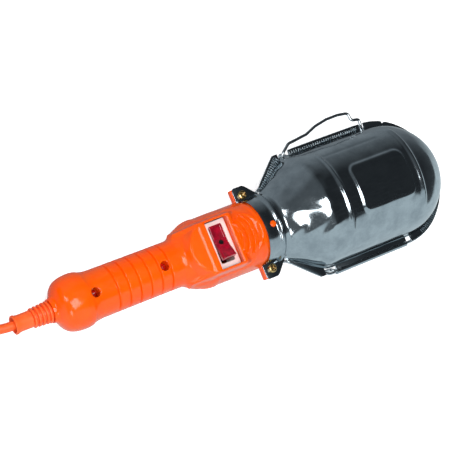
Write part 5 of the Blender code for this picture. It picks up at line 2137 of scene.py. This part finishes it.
        draft.add_grid(np.array(rows), wrap_columns=True, cap_rows=True)
        return draft.to_object("plug_moulding", FRAME_SPACE, 50.0)

    def pin(self, node: str) -> Object:
        """A plug pin: insulated for half its length, with a rounded metal end.

        Args:
            node: The CAD node that it replaces.

        Returns:
            The pin.
        """
        low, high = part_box(node)
        low, high = low * METRE, high * METRE
        centre = (0.5 * (low.x + high.x), 0.0, 0.5 * (low.z + high.z))
        tip, y = high.y, low.y
        item = turned(node + "_turned", [
            (y + 9.5, 0.0), (y + 9.5, 1.7), (y + 9.8, 2.0), (tip - 1.6, 2.0), (tip - 0.8, 1.8),
            (tip - 0.25, 1.25), (tip, 0.0)], 32, "Y", centre, space=FRAME_SPACE)
        cover = turned(node + "_cover", [(y, 0.0), (y, 1.95), (y + 9.4, 1.95), (y + 9.4, 0.0)],
                       32, "Y", centre, space=FRAME_SPACE)
        return join_in_two(item, cover, NICKEL, ORANGE_ABS)

    def build(self) -> None:
        """Cord, sleeve, strap and plug."""
        path = self.path()
        plug = settle(self.plug(), ORANGE_ABS, Body.LAMP, "orange_plastic", "plug_body")
        strap = settle(self.strap(), STRAP, Body.LAMP, "black_strap", "cord_tie")
        pins = [settle(self.pin(node), NICKEL, Body.LAMP, "nickel", node)
                for node in ("plug_pin_left", "plug_pin_right")]
        settle(self.sleeve(), ORANGE_PVC_SLEEVE, Body.LAMP, "orange_rubber", "cord_sleeve")
        item = WIRES.sweep("mains_cord", path, self.radius, ORANGE_PVC_CORD, Matrix.Identity(4), 14)
        settle(item, ORANGE_PVC_CORD, Body.LAMP, "orange_cord", "cord_tube", "cord_coil", "cord_tail")


# ---- plain CAD pieces
def dress_inner_nodes() -> None:
    """Give the small inner CAD nodes their real finishes."""
    finishes = {
        "switch_spring_blade": BRASS, "switch_terminal_live": BRASS,
        "switch_terminal_lamp": BRASS, "lampholder_screw_shell": BRASS,
        "lampholder_centre_contact": BRASS, "cord_clamp_bar": BEZEL_NYLON,
        "cord_clamp_screw_latch_side": ZINC_SCREW, "cord_clamp_screw_hinge_side": ZINC_SCREW,
        "lead_live": BROWN_LEAD, "lead_switched": BROWN_LEAD, "lead_neutral": BLUE_LEAD,
        "cord_jacket_end": ORANGE_PVC_CORD}
    for node, finish in finishes.items():
        mesh = frame["nodes"][node].data
        mesh.materials.clear()
        mesh.materials.append(finish.material())


# ---- studio
@dataclass
class Studio:
    """White paper floor, soft boxes, a room with a dark ceiling for the metal, and the camera."""

    eye: tuple = (-507.44, -53.32, 1033.23)
    sight: tuple = (0.42824, 0.05744, -0.90184)
    upright: tuple = (0.32053, 0.92344, 0.21101)
    lens_mm: float = 130.1784
    sensor_mm: float = 36.0

    def camera(self) -> None:
        """A long lens, high on the tail side of the lamp."""
        turn = Matrix((LAMP.x_axis, LAMP.y_axis, LAMP.z_axis)).transposed()
        forward, upward = turn @ Vector(self.sight), turn @ Vector(self.upright)
        right = forward.cross(upward).normalized()
        upward = right.cross(forward).normalized()
        data = bpy.data.cameras.new("camera")
        data.sensor_width = self.sensor_mm
        data.lens = self.lens_mm
        data.clip_start, data.clip_end = 0.05, 20.0
        camera = add_object("camera", data)
        place = Matrix((right, upward, -forward)).transposed().to_4x4()
        camera.matrix_world = Matrix.Translation(LAMP_SPACE @ Vector(self.eye)) @ place
        bpy.context.scene.camera = camera

    def card(self, name: str, place: tuple, aim: tuple, size: tuple, power: float, mirrored: bool) -> None:
        """Add a soft box.

        Args:
            name: Its name.
            place: Where it stands, metres.
            aim: The spot that it points at.
            size: Width and height.
            power: Watts.
            mirrored: Whether polished surfaces show it.
        """
        data = bpy.data.lights.new(name, "AREA")
        data.shape = "RECTANGLE"
        data.size, data.size_y = size
        data.energy = power
        light = add_object(name, data)
        light.visible_glossy = mirrored
        light.location = place
        light.rotation_euler = (Vector(aim) - Vector(place)).to_track_quat("-Z", "Y").to_euler()

    def floor(self) -> None:
        """A wide sheet of white paper."""
        draft = Draft()
        draft.add_grid(np.array([[(x, y, 0.0) for x in (-3000, 3000)] for y in (-3000, 3000)], float))
        item = draft.to_object("studio_floor", FRAME_SPACE)
        if item.data.polygons[0].normal.z < 0:
            item.data.flip_normals()
        item.data.materials.append(PAPER.material())
        # The bright metal mirrors the room's own pale ground in place of the paper.
        item.visible_glossy = False
        item.visible_diffuse = False

    def surroundings(self) -> None:
        """A pale room under a dark ceiling, which the bright metal reflects."""
        world = bpy.data.worlds.new("studio_room")
        world.use_nodes = True
        tree = world.node_tree
        tree.nodes.clear()
        direction = add_node(tree, "ShaderNodeTexCoord").outputs["Generated"]
        parts = add_node(tree, "ShaderNodeSeparateXYZ", {"Vector": direction})
        across, height = parts.outputs["Y"], parts.outputs["Z"]
        # Grey wall behind the lamp, brighter towards its foot; charcoal ceiling over it.
        wall = maths(tree, "MULTIPLY", ramp(tree, height, 0.62, -0.35),
                     ramp(tree, across, 0.15, 0.7, 0.3, 1.0))
        grey = maths(tree, "ADD", wall, ramp(tree, parts.outputs["X"], 0.35, -0.3, 0.0, 0.35))
        dark = blend_colours(tree, grey, "#34373A", "#969DA2")
        # Pale floor in front of the lamp, and a pale screen along the near side.
        ground = maths(tree, "MULTIPLY", ramp(tree, height, 0.03, -0.03), ramp(tree, across, 0.45, -0.1))
        pale = maths(tree, "MAXIMUM", ground, ramp(tree, across, -0.62, -0.67))
        colour = blend_colours(tree, pale, dark, "#DCE9EE")
        # The camera itself sees a plain white room past the paper's edge.
        seen = add_node(tree, "ShaderNodeLightPath").outputs["Is Camera Ray"]
        room = blend_colours(tree, seen, colour, "#FFFFFF")
        back = add_node(tree, "ShaderNodeBackground", {"Color": room, "Strength": 1.0})
        add_node(tree, "ShaderNodeOutputWorld", {"Surface": back.outputs[0]})
        bpy.context.scene.world = world

    def build(self) -> None:
        """Camera, floor, room and soft boxes."""
        self.camera()
        self.floor()
        self.surroundings()
        hand = (-0.05, 0.0, 0.03)
        for name, place, aim, size, power, mirrored in (
                ("key_box", (-0.52, -0.2, 1.15), (0.0, 0.0, 0.0), (0.7, 0.75), 11.0, True),
                ("tail_window", (-1.1, 0.35, 0.5), hand, (0.3, 0.4), 2.6, True),
                ("near_window", (-1.0, -0.62, 0.34), hand, (0.3, 0.3), 1.6, True),
                ("top_wash", (0.1, 0.3, 1.5), (0.0, 0.0, 0.0), (1.2, 1.2), 7.5, False),
                ("near_wash", (0.1, -1.2, 0.8), (0.0, 0.0, 0.03), (1.0, 0.6), 1.8, False),
                ("far_wash", (-0.1, 1.2, 0.5), hand, (1.0, 0.6), 3.5, False)):
            self.card(name, place, aim, size, power, mirrored)
        bpy.context.scene.view_settings.view_transform = "Standard"


def main() -> None:
    """Build the camera and cord first, then every sub-assembly."""
    logging.basicConfig(level=logging.INFO, format="%(message)s")
    Studio().build()
    Cord().build()
    Handle().build()
    Switch().build()
    Shade().build()
    Guard().build()
    Lamp().build()
    dress_inner_nodes()


if __name__ == "__main__":
    main()
